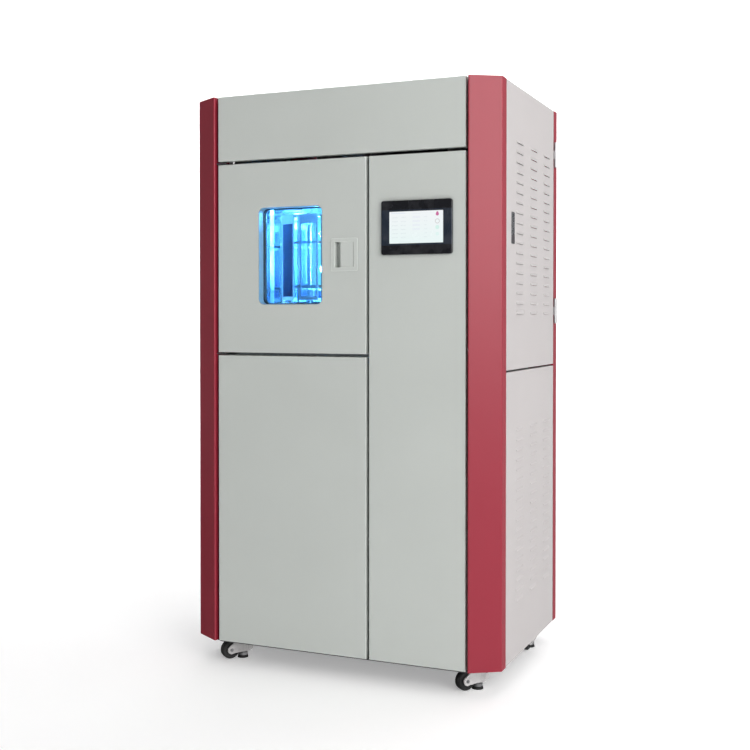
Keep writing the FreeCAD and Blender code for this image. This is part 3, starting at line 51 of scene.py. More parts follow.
class Look:
    """A node material under construction, with its Principled shader."""

    def __init__(self, name):
        self.material = bpy.data.materials.new(name)
        self.material.use_nodes = True
        self.tree = self.material.node_tree
        self.tree.nodes.clear()
        self.out = self.add("ShaderNodeOutputMaterial")
        self.shader = self.add("ShaderNodeBsdfPrincipled")
        self.link(self.shader.outputs[0], self.out.inputs[0])
        self.place = self.add("ShaderNodeTexCoord").outputs["Object"]

    def add(self, kind, **props):
        node = self.tree.nodes.new(kind)
        for key, value in props.items():
            setattr(node, key, value)
        return node

    def link(self, a, b):
        self.tree.links.new(a, b)

    def put(self, socket, value):
        """Sets a socket to a number or colour, or links it to another socket."""
        if isinstance(value, bpy.types.NodeSocket):
            self.link(value, socket)
        else:
            socket.default_value = value

    def set(self, **inputs):
        for key, value in inputs.items():
            self.put(self.shader.inputs[key.replace("_", " ")], value)
        return self

    def noise(self, scale, detail=2.0, rough=0.5, stretch=None, distortion=0.0):
        node = self.add("ShaderNodeTexNoise")
        node.inputs["Scale"].default_value = scale
        node.inputs["Detail"].default_value = detail
        node.inputs["Roughness"].default_value = rough
        node.inputs["Distortion"].default_value = distortion
        self.link(self.stretched(stretch), node.inputs["Vector"])
        return node.outputs["Fac"]

    def stretched(self, stretch):
        if stretch is None:
            return self.place
        node = self.add("ShaderNodeMapping")
        node.inputs["Scale"].default_value = stretch
        self.link(self.place, node.inputs["Vector"])
        return node.outputs[0]

    def cells(self, scale):
        node = self.add("ShaderNodeTexVoronoi", feature="F1")
        node.inputs["Scale"].default_value = scale
        self.link(self.place, node.inputs["Vector"])
        return node

    def span(self, value, low, high, to_low=0.0, to_high=1.0):
        node = self.add("ShaderNodeMapRange")
        self.put(node.inputs["Value"], value)
        for key, number in zip(("From Min", "From Max", "To Min", "To Max"), (low, high, to_low, to_high)):
            node.inputs[key].default_value = number
        return node.outputs[0]

    def math(self, operation, a, b=0.0):
        node = self.add("ShaderNodeMath", operation=operation)
        self.put(node.inputs[0], a)
        self.put(node.inputs[1], b)
        return node.outputs[0]

    def mix(self, factor, a, b, blend="MIX"):
        node = self.add("ShaderNodeMix", data_type="RGBA", blend_type=blend)
        self.put(node.inputs["Factor"], factor)
        self.put(node.inputs["A"], a)
        self.put(node.inputs["B"], b)
        return node.outputs["Result"]

    def bump(self, height, distance, strength=1.0, under=None):
        node = self.add("ShaderNodeBump")
        node.inputs["Distance"].default_value = distance
        node.inputs["Strength"].default_value = strength
        self.put(node.inputs["Height"], height)
        if under is not None:
            self.link(under, node.inputs["Normal"])
        return node.outputs[0]

    def edges(self, radius):
        """One on sharp or tightly bent edges, nought on flat faces."""
        bevel = self.add("ShaderNodeBevel", samples=6)
        bevel.inputs["Radius"].default_value = radius
        plain = self.add("ShaderNodeNewGeometry")
        dot = self.add("ShaderNodeVectorMath", operation="DOT_PRODUCT")
        self.link(bevel.outputs[0], dot.inputs[0])
        self.link(plain.outputs["True Normal"], dot.inputs[1])
        return self.span(dot.outputs["Value"], 0.995, 0.85)

    def hollows(self, reach):
        """One in tight inner corners and beside steps, nought on open faces: the mask for painted shade."""
        shade = self.add("ShaderNodeAmbientOcclusion", samples=6)
        shade.inputs["Distance"].default_value = reach
        return self.span(shade.outputs["AO"], 0.85, 0.35)

    def axes(self):
        node = self.add("ShaderNodeSeparateXYZ")
        self.link(self.place, node.inputs[0])
        return node.outputs


def tint(red, green, blue, factor=1.0):
    """A colour from its 0-255 screen values, scaled, as the linear one that shaders use."""
    linear = []
    for value in (red, green, blue):
        v = value / 255
        v = v / 12.92 if v <= 0.04045 else ((v + 0.055) / 1.055) ** 2.4
        linear.append(min(v * factor, 1.0))
    return (*linear, 1.0)


def powder(name, colour, edge, grain=520.0, rough=0.55, edge_amount=0.5, depth=0.00022, shine=0.42):
    """Textured powder coat: fine orange peel, a slow change of tone and faint dust; bends painted lighter, a
    painted highlight with a little edge wear; tight corners and steps painted darker, painted shade.
    """
    look = Look(name)
    slow = look.noise(1.7, 3.0)
    tone = look.mix(look.span(slow, 0.3, 0.7), scaled(colour, 0.965), scaled(colour, 1.03))
    fine = look.noise(grain * 2.2, 1.0)
    tone = look.mix(look.span(fine, 0.25, 0.75, 0.0, 0.10), tone, scaled(colour, 0.80))
    flecks = look.noise(grain * 0.9, 2.0)
    tone = look.mix(look.span(flecks, 0.62, 0.75, 0.0, 0.12), tone, scaled(colour, 1.25))
    # Painted highlight: bends and edges are painted lighter, partly also worn paint.
    edge_wear_and_highlight = look.math("MULTIPLY", look.edges(0.0028), edge_amount)
    tone = look.mix(edge_wear_and_highlight, tone, edge)
    # Painted shade: tight corners and the feet of steps are painted darker, by ambient occlusion.
    tone = look.mix(look.math("MULTIPLY", look.hollows(0.006), 0.55), tone, scaled(colour, 0.18))
    gloss = look.span(look.noise(grain, 2.0), 0.3, 0.7, rough - 0.07, rough + 0.08)
    look.set(Base_Color=tone, Roughness=gloss)
    peel = look.bump(look.noise(grain, 2.0, 0.6), depth, 0.6)
    look.set(Normal=look.bump(look.noise(38.0, 2.0), 0.0004, 0.25, peel))
    look.shader.inputs["Specular IOR Level"].default_value = shine
    return look.material


def scaled(colour, factor):
    return (*[min(c * factor, 1.0) for c in colour[:3]], 1.0)


def steel(name, colour, along=(1.0, 1.0, 60.0), rough=0.30, metal=1.0, streak=90.0):
    """Brushed sheet: long fine streaks across one direction, and slow cloudy changes of gloss."""
    look = Look(name)
    lines = look.noise(streak, 3.0, 0.7, along)
    slow = look.noise(6.0, 3.0)
    tone = look.mix(look.span(lines, 0.3, 0.7), scaled(colour, 0.86), scaled(colour, 1.08))
    tone = look.mix(look.span(slow, 0.35, 0.7, 0.0, 0.35), tone, scaled(colour, 0.8))
    # Painted highlight: edges are painted lighter.
    edge_wear_and_highlight = look.math("MULTIPLY", look.edges(0.0012), 0.5)
    tone = look.mix(edge_wear_and_highlight, tone, scaled(colour, 1.3))
    level = look.span(lines, 0.3, 0.7, rough - 0.06, rough + 0.08)
    level = look.math("ADD", level, look.span(slow, 0.3, 0.7, -0.03, 0.05))
    look.set(Base_Color=tone, Roughness=level, Normal=look.bump(lines, 0.00006, 0.5))
    look.shader.inputs["Metallic"].default_value = metal
    return look.material


def zinc(name, colour, scale=55.0, rough=0.42):
    """Galvanised sheet: crystal spangle in patches of slightly different tone and gloss."""
    look = Look(name)
    cell = look.cells(scale)
    patch = look.span(look.math("MULTIPLY", cell.outputs["Color"], 1.0), 0.0, 1.0)
    fine = look.noise(240.0, 2.0)
    tone = look.mix(patch, scaled(colour, 0.84), scaled(colour, 1.08))
    tone = look.mix(look.span(fine, 0.4, 0.8, 0.0, 0.25), tone, scaled(colour, 0.72))
    look.set(Base_Color=tone, Roughness=look.span(patch, 0.0, 1.0, rough - 0.09, rough + 0.1))
    look.set(Normal=look.bump(fine, 0.00008, 0.4))
    look.shader.inputs["Metallic"].default_value = 0.85
    return look.material


def casting(name, colour, rough=0.5, metal=0.4, grain=230.0):
    """A die casting under thin paint: pebbled skin, darker hollows, rubbed edges."""
    look = Look(name)
    pebble = look.noise(grain, 3.0, 0.65)
    slow = look.noise(22.0, 3.0)
    tone = look.mix(look.span(slow, 0.3, 0.75), scaled(colour, 1.06), scaled(colour, 0.78))
    tone = look.mix(look.span(pebble, 0.25, 0.5, 0.30, 0.0), tone, scaled(colour, 0.55))
    edge_wear_and_highlight = look.math("MULTIPLY", look.edges(0.0012), 0.6)
    tone = look.mix(edge_wear_and_highlight, tone, scaled(colour, 1.35))
    look.set(Base_Color=tone, Roughness=look.span(pebble, 0.3, 0.7, rough - 0.08, rough + 0.12))
    look.set(Normal=look.bump(pebble, 0.00016, 0.6))
    look.shader.inputs["Metallic"].default_value = metal
    return look.material


def moulded(name, colour, rough=0.42, grain=900.0, depth=0.00005, dust=0.1, edge=0.35):
    """Moulded plastic: a fine spark-eroded grain, a breath of dust, and edges painted lighter, a painted
    highlight.
    """
    look = Look(name)
    skin = look.noise(grain, 2.0)
    slow = look.noise(30.0, 3.0)
    grey = (0.5, 0.49, 0.47, 1.0)
    tone = look.mix(look.span(slow, 0.45, 0.8, 0.0, dust), scaled(colour, 1.0), grey)
    tone = look.mix(look.span(skin, 0.3, 0.7), tone, look.mix(0.5, tone, scaled(colour, 0.8)))
    # Painted highlight: edges are painted lighter.
    edge_wear_and_highlight = look.math("MULTIPLY", look.edges(0.0009), edge)
    tone = look.mix(edge_wear_and_highlight, tone, scaled(colour, 1.7))
    look.set(Base_Color=tone, Roughness=look.span(slow, 0.3, 0.7, rough - 0.05, rough + 0.1))
    look.set(Normal=look.bump(skin, depth, 0.5))
    return look.material


def rubber(name, colour, rough=0.7):
    """Matt rubber: a fine uneven skin with a grey bloom in patches."""
    look = Look(name)
    skin = look.noise(420.0, 3.0)
    slow = look.noise(26.0, 3.0)
    tone = look.mix(look.span(slow, 0.4, 0.75, 0.0, 0.30), colour, scaled(colour, 2.2))
    look.set(Base_Color=tone, Roughness=look.span(skin, 0.3, 0.7, rough - 0.1, rough + 0.1))
    look.set(Normal=look.bump(skin, 0.0001, 0.5))
    return look.material


def clear(name, colour, gloss=0.04, smear=0.06, painted_glow_colour=None):
    """Glass that lets light through, with a faint uneven film on it; given a glow colour, the film also gives
    off painted light, an emission standing in for the lamp's light in the glass.
    """
    look = Look(name)
    film = look.noise(14.0, 4.0, 0.6)
    see = look.add("ShaderNodeBsdfTransparent")
    look.put(see.inputs["Color"], look.mix(look.span(film, 0.3, 0.7, 0.0, 0.25), colour, scaled(colour, 0.9)))
    shine = look.add("ShaderNodeBsdfGlossy")
    look.put(shine.inputs["Roughness"], look.span(film, 0.3, 0.7, gloss, gloss + smear))
    fresnel = look.add("ShaderNodeFresnel")
    fresnel.inputs["IOR"].default_value = 1.35
    both = look.add("ShaderNodeMixShader")
    look.link(fresnel.outputs[0], both.inputs[0])
    look.link(see.outputs[0], both.inputs[1])
    look.link(shine.outputs[0], both.inputs[2])
    # Painted light: the film gives off a faint glow, an emission standing in for the lamp's light in the
    # glass.
    if painted_glow_colour is not None:
        painted_glow = look.add("ShaderNodeEmission")
        painted_glow.inputs["Color"].default_value = painted_glow_colour
        look.put(painted_glow.inputs["Strength"], look.span(film, 0.3, 0.7, 0.45, 0.65))
        film_and_painted_glow = look.add("ShaderNodeAddShader")
        look.link(both.outputs[0], film_and_painted_glow.inputs[0])
        look.link(painted_glow.outputs[0], film_and_painted_glow.inputs[1])
        both = film_and_painted_glow
    look.link(both.outputs[0], look.out.inputs[0])
    look.tree.nodes.remove(look.shader)
    return look.material


def glowing(name, colour, strength):
    """The lit burner: hottest at its middle, fading and cooler towards the caps."""
    look = Look(name)
    height = look.axes()[2]
    low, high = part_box("lamp_tube")
    middle = (low.z + high.z) / 2
    away = look.math("ABSOLUTE", look.math("SUBTRACT", height, middle))
    heat = look.span(away, 0.0, (high.z - low.z) / 2, 1.0, 0.35)
    flicker = look.noise(70.0, 2.0, 0.5, (1.0, 1.0, 0.2))
    tone = look.mix(heat, scaled(colour, 0.6), colour)
    look.set(Base_Color=tone, Roughness=look.span(flicker, 0.3, 0.7, 0.1, 0.2), Emission_Color=tone)
    power = look.math("MULTIPLY", heat, strength)
    look.set(Emission_Strength=look.math("MULTIPLY", power, look.span(flicker, 0.2, 0.8, 0.9, 1.1)))
    return look.material


def chamber_sheet(name, colour):
    """Polished stainless sheet, brushed level, with a dressed seam down the left wall."""
    look = Look(name)
    lines = look.noise(90.0, 3.0, 0.7, (1.0, 1.0, 50.0))
    slow = look.noise(6.0, 3.0)
    low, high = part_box("specimen_rack")
    x, y, _ = look.axes()
    wall_x = low.x - 0.013
    left = look.span(x, wall_x + 0.0005, wall_x - 0.0005)
    seam_y = (low.y + high.y) / 2 - 0.056
    away = look.math("ABSOLUTE", look.math("SUBTRACT", y, seam_y))
    seam = look.math("MULTIPLY", left, look.span(away, 0.0145, 0.0105))
    tone = look.mix(look.span(lines, 0.3, 0.7), scaled(colour, 0.88), scaled(colour, 1.06))
    tone = look.mix(look.span(slow, 0.35, 0.7, 0.0, 0.3), tone, scaled(colour, 0.8))
    level = look.math("ADD", look.span(lines, 0.3, 0.7, 0.05, 0.13), look.span(slow, 0.3, 0.7, -0.02, 0.04))
    level = look.math("ADD", level, look.math("MULTIPLY", seam, 0.36))
    look.set(Base_Color=tone, Roughness=level, Normal=look.bump(lines, 0.00004, 0.4))
    look.shader.inputs["Metallic"].default_value = 1.0
    return look.material


def specimens(name):
    """A steel frame round a piece of cloth at each station. Some cloths are dark, one is thin and pale."""
    look = Look(name)
    low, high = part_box("specimen_rack")
    middle = (low + high) / 2
    x, y, z = look.axes()
    x = look.math("SUBTRACT", x, middle.x)
    y = look.math("SUBTRACT", y, middle.y)
    turn = look.math("ARCTAN2", y, x)
    station = look.math("SUBTRACT", look.math("MULTIPLY", turn, 180 / math.pi / PITCH), HOLDER_TURN / PITCH)
    number = look.math("ROUND", station)
    away = look.math("MULTIPLY", look.math("SUBTRACT", station, number), math.radians(PITCH))
    across = look.math("MULTIPLY", look.math("TANGENT", away), HOLDER_RADIUS)
    top = high.z - 0.026
    cloth = look.span(look.math("ABSOLUTE", across), 0.0242, 0.0236)
    cloth = look.math("MULTIPLY", cloth, look.span(z, top, top - 0.0008))
    cloth = look.math("MULTIPLY", cloth, look.span(z, low.z + 0.2032, low.z + 0.2040))
    warp = look.math("SINE", look.math("MULTIPLY", across, 7000.0))
    weft = look.math("SINE", look.math("MULTIPLY", z, 7000.0))
    weave = look.span(look.math("MULTIPLY", warp, weft), -1.0, 1.0)
    thin = look.math("LESS_THAN", look.math("ABSOLUTE", look.math("ADD", number, 3.0)), 0.5)
    shade = look.add("ShaderNodeTexWhiteNoise", noise_dimensions="1D")
    look.link(number, shade.inputs["W"])
    dyed = look.mix(shade.outputs["Value"], tint(26, 40, 80), tint(64, 92, 150))
    dyed = look.mix(thin, dyed, tint(150, 186, 214))
    dyed = look.mix(look.math("MULTIPLY", weave, 0.35), dyed, tint(18, 26, 48))
    brush = look.noise(200.0, 3.0, 0.7, (1.0, 1.0, 20.0))
    metal = look.mix(look.span(brush, 0.3, 0.7), tint(150, 168, 196), tint(200, 212, 228))
    look.set(Base_Color=look.mix(cloth, metal, dyed), Metallic=look.span(cloth, 0.0, 1.0, 0.5, 0.0))
    look.set(Roughness=look.span(cloth, 0.0, 1.0, 0.3, 0.85))
    look.set(Normal=look.bump(look.math("MULTIPLY", weave, cloth), 0.00012, 0.6))
    gaps = look.math("MULTIPLY", look.span(weave, 0.2, 0.9, 0.35, 0.85), look.math("MULTIPLY", thin, cloth))
    look.set(Alpha=look.math("SUBTRACT", 1.0, gaps))
    return look.material


def bezel(name, band, side):
    """Gloss black glass in two tones: darker bands above and below the display."""
    look = Look(name)
    low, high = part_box("operator_screen")
    height = look.axes()[2]
    above = look.span(height, high.z + 0.0045, high.z + 0.0052)
    below = look.span(height, low.z - 0.0045, low.z - 0.0052)
    film = look.noise(30.0, 3.0)
    tone = look.mix(look.math("MAXIMUM", above, below), side, band)
    tone = look.mix(look.span(film, 0.45, 0.8, 0.0, 0.05), tone, (0.5, 0.5, 0.52, 1.0))
    # Painted highlight: the bezel's edges are painted lighter.
    edge_wear_and_highlight = look.math("MULTIPLY", look.edges(0.0010), 0.4)
    look.set(Base_Color=look.mix(edge_wear_and_highlight, tone, scaled(side, 3.0)))
    look.set(Roughness=look.span(film, 0.3, 0.7, 0.10, 0.20))
    return look.material


def display(name):
    """A lit touch display: pale rows of unreadable marks and fields, and four round symbols."""
    look = Look(name)
    low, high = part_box("operator_screen")
    x, _, z = look.axes()
    wide, tall = high.x - low.x, high.z - low.z
    u = look.span(x, low.x, high.x)
    v = look.span(z, low.z, high.z)

    def inside(value, a, b, soft=0.004):
        rise = look.span(value, a - soft, a + soft)
        return look.math("MULTIPLY", rise, look.span(value, b + soft, b - soft))

    def either(*masks):
        total = masks[0]
        for mask in masks[1:]:
            total = look.math("MAXIMUM", total, mask)
        return total

    def disc(at_u, at_v, radius):
        across = look.math("MULTIPLY", look.math("SUBTRACT", u, at_u), wide)
        up = look.math("MULTIPLY", look.math("SUBTRACT", v, at_v), tall)
        squares = look.math("ADD", look.math("POWER", across, 2.0), look.math("POWER", up, 2.0))
        far = look.math("SQRT", squares)
        return look.span(far, radius + 0.0003, radius - 0.0003)

    rows = look.math("FRACT", look.math("MULTIPLY", v, 8.0))
    marks = look.span(look.noise(900.0, 2.0, 0.6, (1.0, 1.0, 0.55)), 0.46, 0.56)
    words = inside(rows, 0.36, 0.62, 0.03)
    columns = either(inside(u, 0.05, 0.16), inside(u, 0.215, 0.31), inside(u, 0.65, 0.71))
    text = look.math("MULTIPLY", look.math("MULTIPLY", words, columns), marks)
    text = look.math("MULTIPLY", text, inside(v, 0.10, 0.90))
    fields = look.math("MULTIPLY", inside(rows, 0.22, 0.78, 0.02), inside(u, 0.435, 0.575))
    fields = look.math("MULTIPLY", fields, inside(v, 0.36, 0.93))
    paper = look.mix(look.span(v, 0.0, 1.0), (0.88, 1.0, 0.99, 1.0), (0.95, 0.98, 1.0, 1.0))
    tone = look.mix(look.math("MULTIPLY", fields, 0.22), paper, (0.75, 0.75, 0.95, 1.0))
    tone = look.mix(look.math("MULTIPLY", text, 0.40), tone, (0.55, 0.62, 0.68, 1.0))
    head = look.math("MULTIPLY", inside(v, 0.93, 0.965, 0.006), inside(u, 0.04, 0.30))
    tone = look.mix(look.math("MULTIPLY", head, 0.25), tone, (0.6, 0.68, 0.95, 1.0))
    bell = either(disc(0.895, 0.93, 0.0030), disc(0.895, 0.885, 0.0044))
    tone = look.mix(bell, tone, (0.62, 0.16, 0.36, 1.0))
    ring = look.math("SUBTRACT", disc(0.895, 0.665, 0.0066), disc(0.895, 0.665, 0.0048))
    tone = look.mix(look.math("MULTIPLY", ring, 0.8), tone, (0.62, 0.60, 0.60, 1.0))
    tone = look.mix(look.math("MULTIPLY", disc(0.895, 0.475, 0.0055), 0.55), tone, (0.55, 0.92, 0.80, 1.0))
    tone = look.mix(look.math("MULTIPLY", disc(0.895, 0.27, 0.0050), 0.30), tone, (0.60, 0.95, 0.88, 1.0))
    dots = look.noise(2600.0, 0.0)
    look.set(Base_Color=look.mix(0.96, tone, (0.0, 0.0, 0.0, 1.0)), Emission_Color=tone)
    look.set(Emission_Strength=look.span(dots, 0.0, 1.0, 0.86, 0.92))
    look.set(Roughness=look.span(look.noise(24.0, 3.0), 0.3, 0.7, 0.16, 0.28))
    return look.material


PITCH = 30.0            # degrees from one specimen holder to the next
HOLDER_TURN = 3.0       # degrees from the X axis to a holder
HOLDER_RADIUS = 0.1455  # from the rack's axis to a holder

GREY = tint(201, 206, 202)
# Painted light: the side grey is a darker, warmer copy of the front's paint, toned for how the light falls on
# the sides.
SIDE_GREY_AS_LIT = tint(187, 183, 183)
RED = tint(155, 40, 58)

# Painted highlight: the edge colours below light up the bends. The handle paint is a lighter copy of the
# front grey, with the strongest painted highlights on its rims.
paint_front = powder("paint_front", GREY, scaled(GREY, 1.45), rough=0.56, edge_amount=0.75)
paint_handle = powder("paint_handle", scaled(GREY, 1.04), scaled(GREY, 1.55), rough=0.5, edge_amount=1.0)
paint_side_as_lit = powder("paint_side_as_lit", SIDE_GREY_AS_LIT, scaled(SIDE_GREY_AS_LIT, 1.2), rough=0.56)
# Painted highlight: the red posts' bends are painted a pale pink.
paint_red = powder("paint_red", RED, tint(196, 84, 98), grain=430.0, rough=0.35, edge_amount=0.4, shine=0.5)
# Painted shade: the partition is painted dark grey so that the gaps it shows through read black.
paint_inner = powder("paint_inner", tint(64, 65, 68), tint(110, 110, 112), grain=420.0)
paint_base = powder("paint_base", tint(70, 71, 73), tint(120, 120, 122), grain=300.0, rough=0.6)
paint_black = powder("paint_black", tint(40, 41, 44), tint(90, 90, 94), grain=600.0, rough=0.45)
paint_supply = powder("paint_supply", tint(150, 154, 156), tint(190, 193, 195), grain=420.0)
cloth_holder = specimens("cloth_holder")
steel_chamber = chamber_sheet("steel_chamber", tint(222, 230, 238))
steel_rack = steel("steel_rack", tint(205, 210, 216), (1.0, 1.0, 20.0), 0.28, streak=200.0)
steel_hinge = steel("steel_hinge", tint(212, 212, 214), (40.0, 40.0, 1.0), 0.34, streak=160.0)
steel_plated = steel("steel_plated", tint(186, 186, 188), (30.0, 30.0, 1.0), 0.36, streak=240.0)
sheet_zinc = zinc("sheet_zinc", tint(186, 190, 192))
chrome = steel("chrome_lock", tint(176, 178, 182), (20.0, 20.0, 1.0), 0.2, streak=120.0)
brass = steel("brass", tint(196, 164, 96), (1.0, 1.0, 6.0), 0.3, streak=300.0)
lamp_alloy = steel("lamp_alloy", tint(190, 192, 196), (1.0, 1.0, 40.0), 0.32, streak=220.0)
cast_caster = casting("cast_caster", tint(216, 214, 214), metal=0.2)
black_nylon = moulded("black_nylon", tint(26, 26, 27), 0.4, 500.0)
black_plastic = moulded("black_plastic", tint(34, 35, 38), 0.45)
button_plastic = moulded("button_plastic", tint(58, 52, 58), 0.4)
light_plastic = moulded("light_plastic", tint(205, 205, 200), 0.45, dust=0.05)
tank_plastic = moulded("tank_plastic", tint(226, 230, 230), 0.35, dust=0.05)
black_rubber = rubber("black_rubber", tint(30, 30, 31))
pane_glass = clear("pane_glass", (0.86, 0.95, 1.0, 1.0))
# Painted light: the filter glass glows though it is no lamp.
filter_glass = clear("filter_glass", (0.72, 0.92, 1.0, 1.0), 0.05, painted_glow_colour=(0.22, 0.60, 0.95, 1.0))
lamp_glow = glowing("lamp_glow", (0.72, 0.90, 1.0, 1.0), 18.0)
bezel_gloss = bezel("bezel_gloss", tint(24, 25, 30), tint(36, 44, 56))
duct_plastic = moulded("duct_plastic", tint(150, 154, 158), 0.5, dust=0.05)
screw_steel = steel("screw_steel", tint(176, 176, 178), (1.0, 1.0, 1.0), 0.30, streak=900.0)
# Painted light: the lining's pale blue stands in for the lamp's blue light on the sides of the window
# opening.
lining_painted_blue = moulded("lining_painted_blue", tint(132, 180, 208), 0.3, dust=0.02, edge=0.2)
gasket_rubber = rubber("gasket_rubber", tint(24, 38, 62))
black_oxide = steel("black_oxide", tint(46, 46, 50), (1.0, 1.0, 1.0), 0.36, streak=900.0)
screen_lit = display("screen_lit")

LOOKS = {
    paint_front: "front_fascia lower_front_panel right_front_panel chamber_door door_inner_panel",
    paint_handle: "handle_cup handle_paddle",
    paint_side_as_lit: "fixed_side_panels side_door rear_panels roof_panel",
    paint_red: "front_posts rear_posts",
    # Painted shade: the door pivots take the dark base paint so that they stay dark in the door gaps.
    paint_base: "base_plate door_pivots",
    paint_black: "rack_motor blower_motor",
    paint_supply: "lamp_power_supply lamp_igniter",
    cloth_holder: "specimen_holders",
    steel_chamber: "chamber_walls",
    steel_rack: "specimen_rack temperature_probe",
    steel_hinge: "side_hinge_post_leaves side_hinge_door_leaves",
    steel_plated: "door_bolt side_lock_bolt caster_stems exhaust_collar",
    paint_inner: "partition_wall",
    sheet_zinc: "chamber_deck mounting_plate blower_housing",
    chrome: "side_lock_cup side_lock_lever",
    brass: "motor_pinion",
    lamp_alloy: "lamp_head",
    cast_caster: "front_left_caster front_right_caster rear_left_caster rear_right_caster",
    black_nylon: "front_left_wheel front_right_wheel rear_left_wheel rear_right_wheel cable_gland",
    black_plastic: "contactors controller blower_impeller",
    button_plastic: "side_lock_button",
    light_plastic: "circuit_breakers terminal_blocks",
    tank_plastic: "water_tank",
    black_rubber: "levelling_pads chamber_seal",
    pane_glass: "window_panes",
    filter_glass: "lamp_filter",
    lamp_glow: "lamp_tube",
    bezel_gloss: "operator_panel",
    screen_lit: "operator_screen",
}
for material, names in LOOKS.items():
    for name in names.split():
        piece = nodes[name]
        piece.data.materials.clear()
        piece.data.materials.append(material)
missing = set(nodes) - {name for names in LOOKS.values() for name in names.split()}
if missing:
    raise SystemExit(f"no look for {sorted(missing)}")


# Fasteners and trim that the frame leaves to the scene.

SHARP_ANGLE = math.radians(32)
SUNK = 0.0001  # how far a screw's foot reaches into what it holds, so that no light passes


def placed(name, data):
    """An object of the scene that shows a mesh, light or camera."""
    thing = bpy.data.objects.new(name, data)
    bpy.context.scene.collection.objects.link(thing)
    return thing


def meshed(name, bm, material):
    """An object with the faces of a bmesh, shaded smooth."""
    mesh = bpy.data.meshes.new(name)
    bm.to_mesh(mesh)
    bm.free()
    for face in mesh.polygons:
        face.use_smooth = True
    mesh.materials.append(material)
    return placed(name, mesh)


def grow(name, body, material, build):
    """Makes one mesh piece with a builder function, and lets it ride on a body."""
    bm = bmesh.new()
    build(bm)
    bmesh.ops.recalc_face_normals(bm, faces=bm.faces)
    piece = meshed(name, bm, material)
    piece.data.set_sharp_from_angle(angle=SHARP_ANGLE)
    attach(piece, body)


def turned(bm, at, along, profile, hexed=(), count=24):
    """A form of revolution about a line from a point. The rings named in hexed follow a hexagon."""
    axis = Vector(along).normalized()
    side = axis.orthogonal().normalized()
    other = axis.cross(side)
    rings = []
    for index, (radius, height) in enumerate(profile):
        ring = []
        for i in range(count):
            turn = 2 * math.pi * i / count
            reach = radius
            if index in hexed:
                reach = radius / math.cos((turn + math.pi / 6) % (math.pi / 3) - math.pi / 6)
            out = (side * math.cos(turn) + other * math.sin(turn)) * reach
            ring.append(bm.verts.new(Vector(at) + axis * height + out))
        rings.append(ring)
    for a, b in zip(rings, rings[1:]):
        for i in range(count):
            j = (i + 1) % count
            bm.faces.new((a[i], a[j], b[j], b[i]))
    bm.faces.new(rings[0][::-1])
    bm.faces.new(rings[-1])


def button_head(bm, at, along, radius, height):
    """A domed screw head with a hexagon socket."""
    profile = [
        (radius, 0.0), (radius, height * 0.25), (radius * 0.93, height * 0.55),
        (radius * 0.75, height * 0.85), (radius * 0.52, height), (radius * 0.42, height),
        (radius * 0.40, height * 0.35),
    ]
    turned(bm, at, along, profile, hexed=(5, 6))


def hex_head(bm, at, along, radius, height):
    """A hexagon head on a flange, with its corners chamfered."""
    profile = [
        (radius * 1.25, 0.0), (radius * 1.2, height * 0.2), (radius * 0.86, height * 0.22),
        (radius * 0.86, height * 0.85), (radius * 0.78, height),
    ]
    turned(bm, at, along, profile, hexed=(2, 3))


def heads(spots, along, radius, height):
    """A builder of one screw head at each spot."""
    def build(bm):
        for spot in spots:
            button_head(bm, spot, along, radius, height)
    return build


def block(bm, low, high, soft=0.0):
    """A box between two corners, with its edges rounded off."""
    made = bmesh.ops.create_cube(bm, size=1.0)["verts"]
    low, high = Vector(low), Vector(high)
    for vert in made:
        vert.co = Vector([low[i] + (vert.co[i] + 0.5) * (high[i] - low[i]) for i in range(3)])
    if soft:
        edges = list({edge for vert in made for edge in vert.link_edges})
        bmesh.ops.bevel(bm, geom=edges, offset=soft, segments=2, affect="EDGES")


def ring_tube(bm, centre, radius, thick, count=48, sides=8):
    """A round wire bent to a hoop in an upright plane that faces the front."""
    loops = []
    for i in range(count):
        turn = 2 * math.pi * i / count
        out = Vector((math.cos(turn), 0.0, math.sin(turn)))
        loop = []
        for k in range(sides):
            roll = 2 * math.pi * k / sides
            step = out * (radius + thick * math.cos(roll)) + Vector((0, thick * math.sin(roll), 0))
            loop.append(bm.verts.new(Vector(centre) + step))
        loops.append(loop)
    for i in range(count):
        a, b = loops[i], loops[(i + 1) % count]
        for k in range(sides):
            j = (k + 1) % sides
            bm.faces.new((a[k], b[k], b[j], a[j]))


def rounded_loop(x0, z0, x1, z1, radius, steps=8):
    """The points of a rectangle with rounded corners, as pairs of x and z."""
    points = []
    for cx, cz, start in (
        (x1 - radius, z0 + radius, -90), (x1 - radius, z1 - radius, 0),
        (x0 + radius, z1 - radius, 90), (x0 + radius, z0 + radius, 180),
    ):
        for i in range(steps + 1):
            turn = math.radians(start + 90 * i / steps)
            points.append((cx + radius * math.cos(turn), cz + radius * math.sin(turn)))
    return points


def upright_frame(bm, outer, inner, y0, y1):
    """A closed frame between an outer and an inner loop of x and z, from one y to another."""
    levels = ((outer, y0), (outer, y1), (inner, y1), (inner, y0))
    rows = [[bm.verts.new((x, y, z)) for x, z in loop] for loop, y in levels]
    for a, b in zip(rows, rows[1:] + rows[:1]):
        for i in range(len(a)):
            j = (i + 1) % len(a)
            bm.faces.new((a[i], a[j], b[j], b[i]))


def evenly(low, high, count):
    """Places at equal steps from low to high, both included."""
    return [low + (high - low) * i / (count - 1) for i in range(count)]


def grid(xs, y, zs):
    """A spot at each crossing of some x and z, on a face that looks along Y."""
    return [(x, y, z) for x in xs for z in zs]


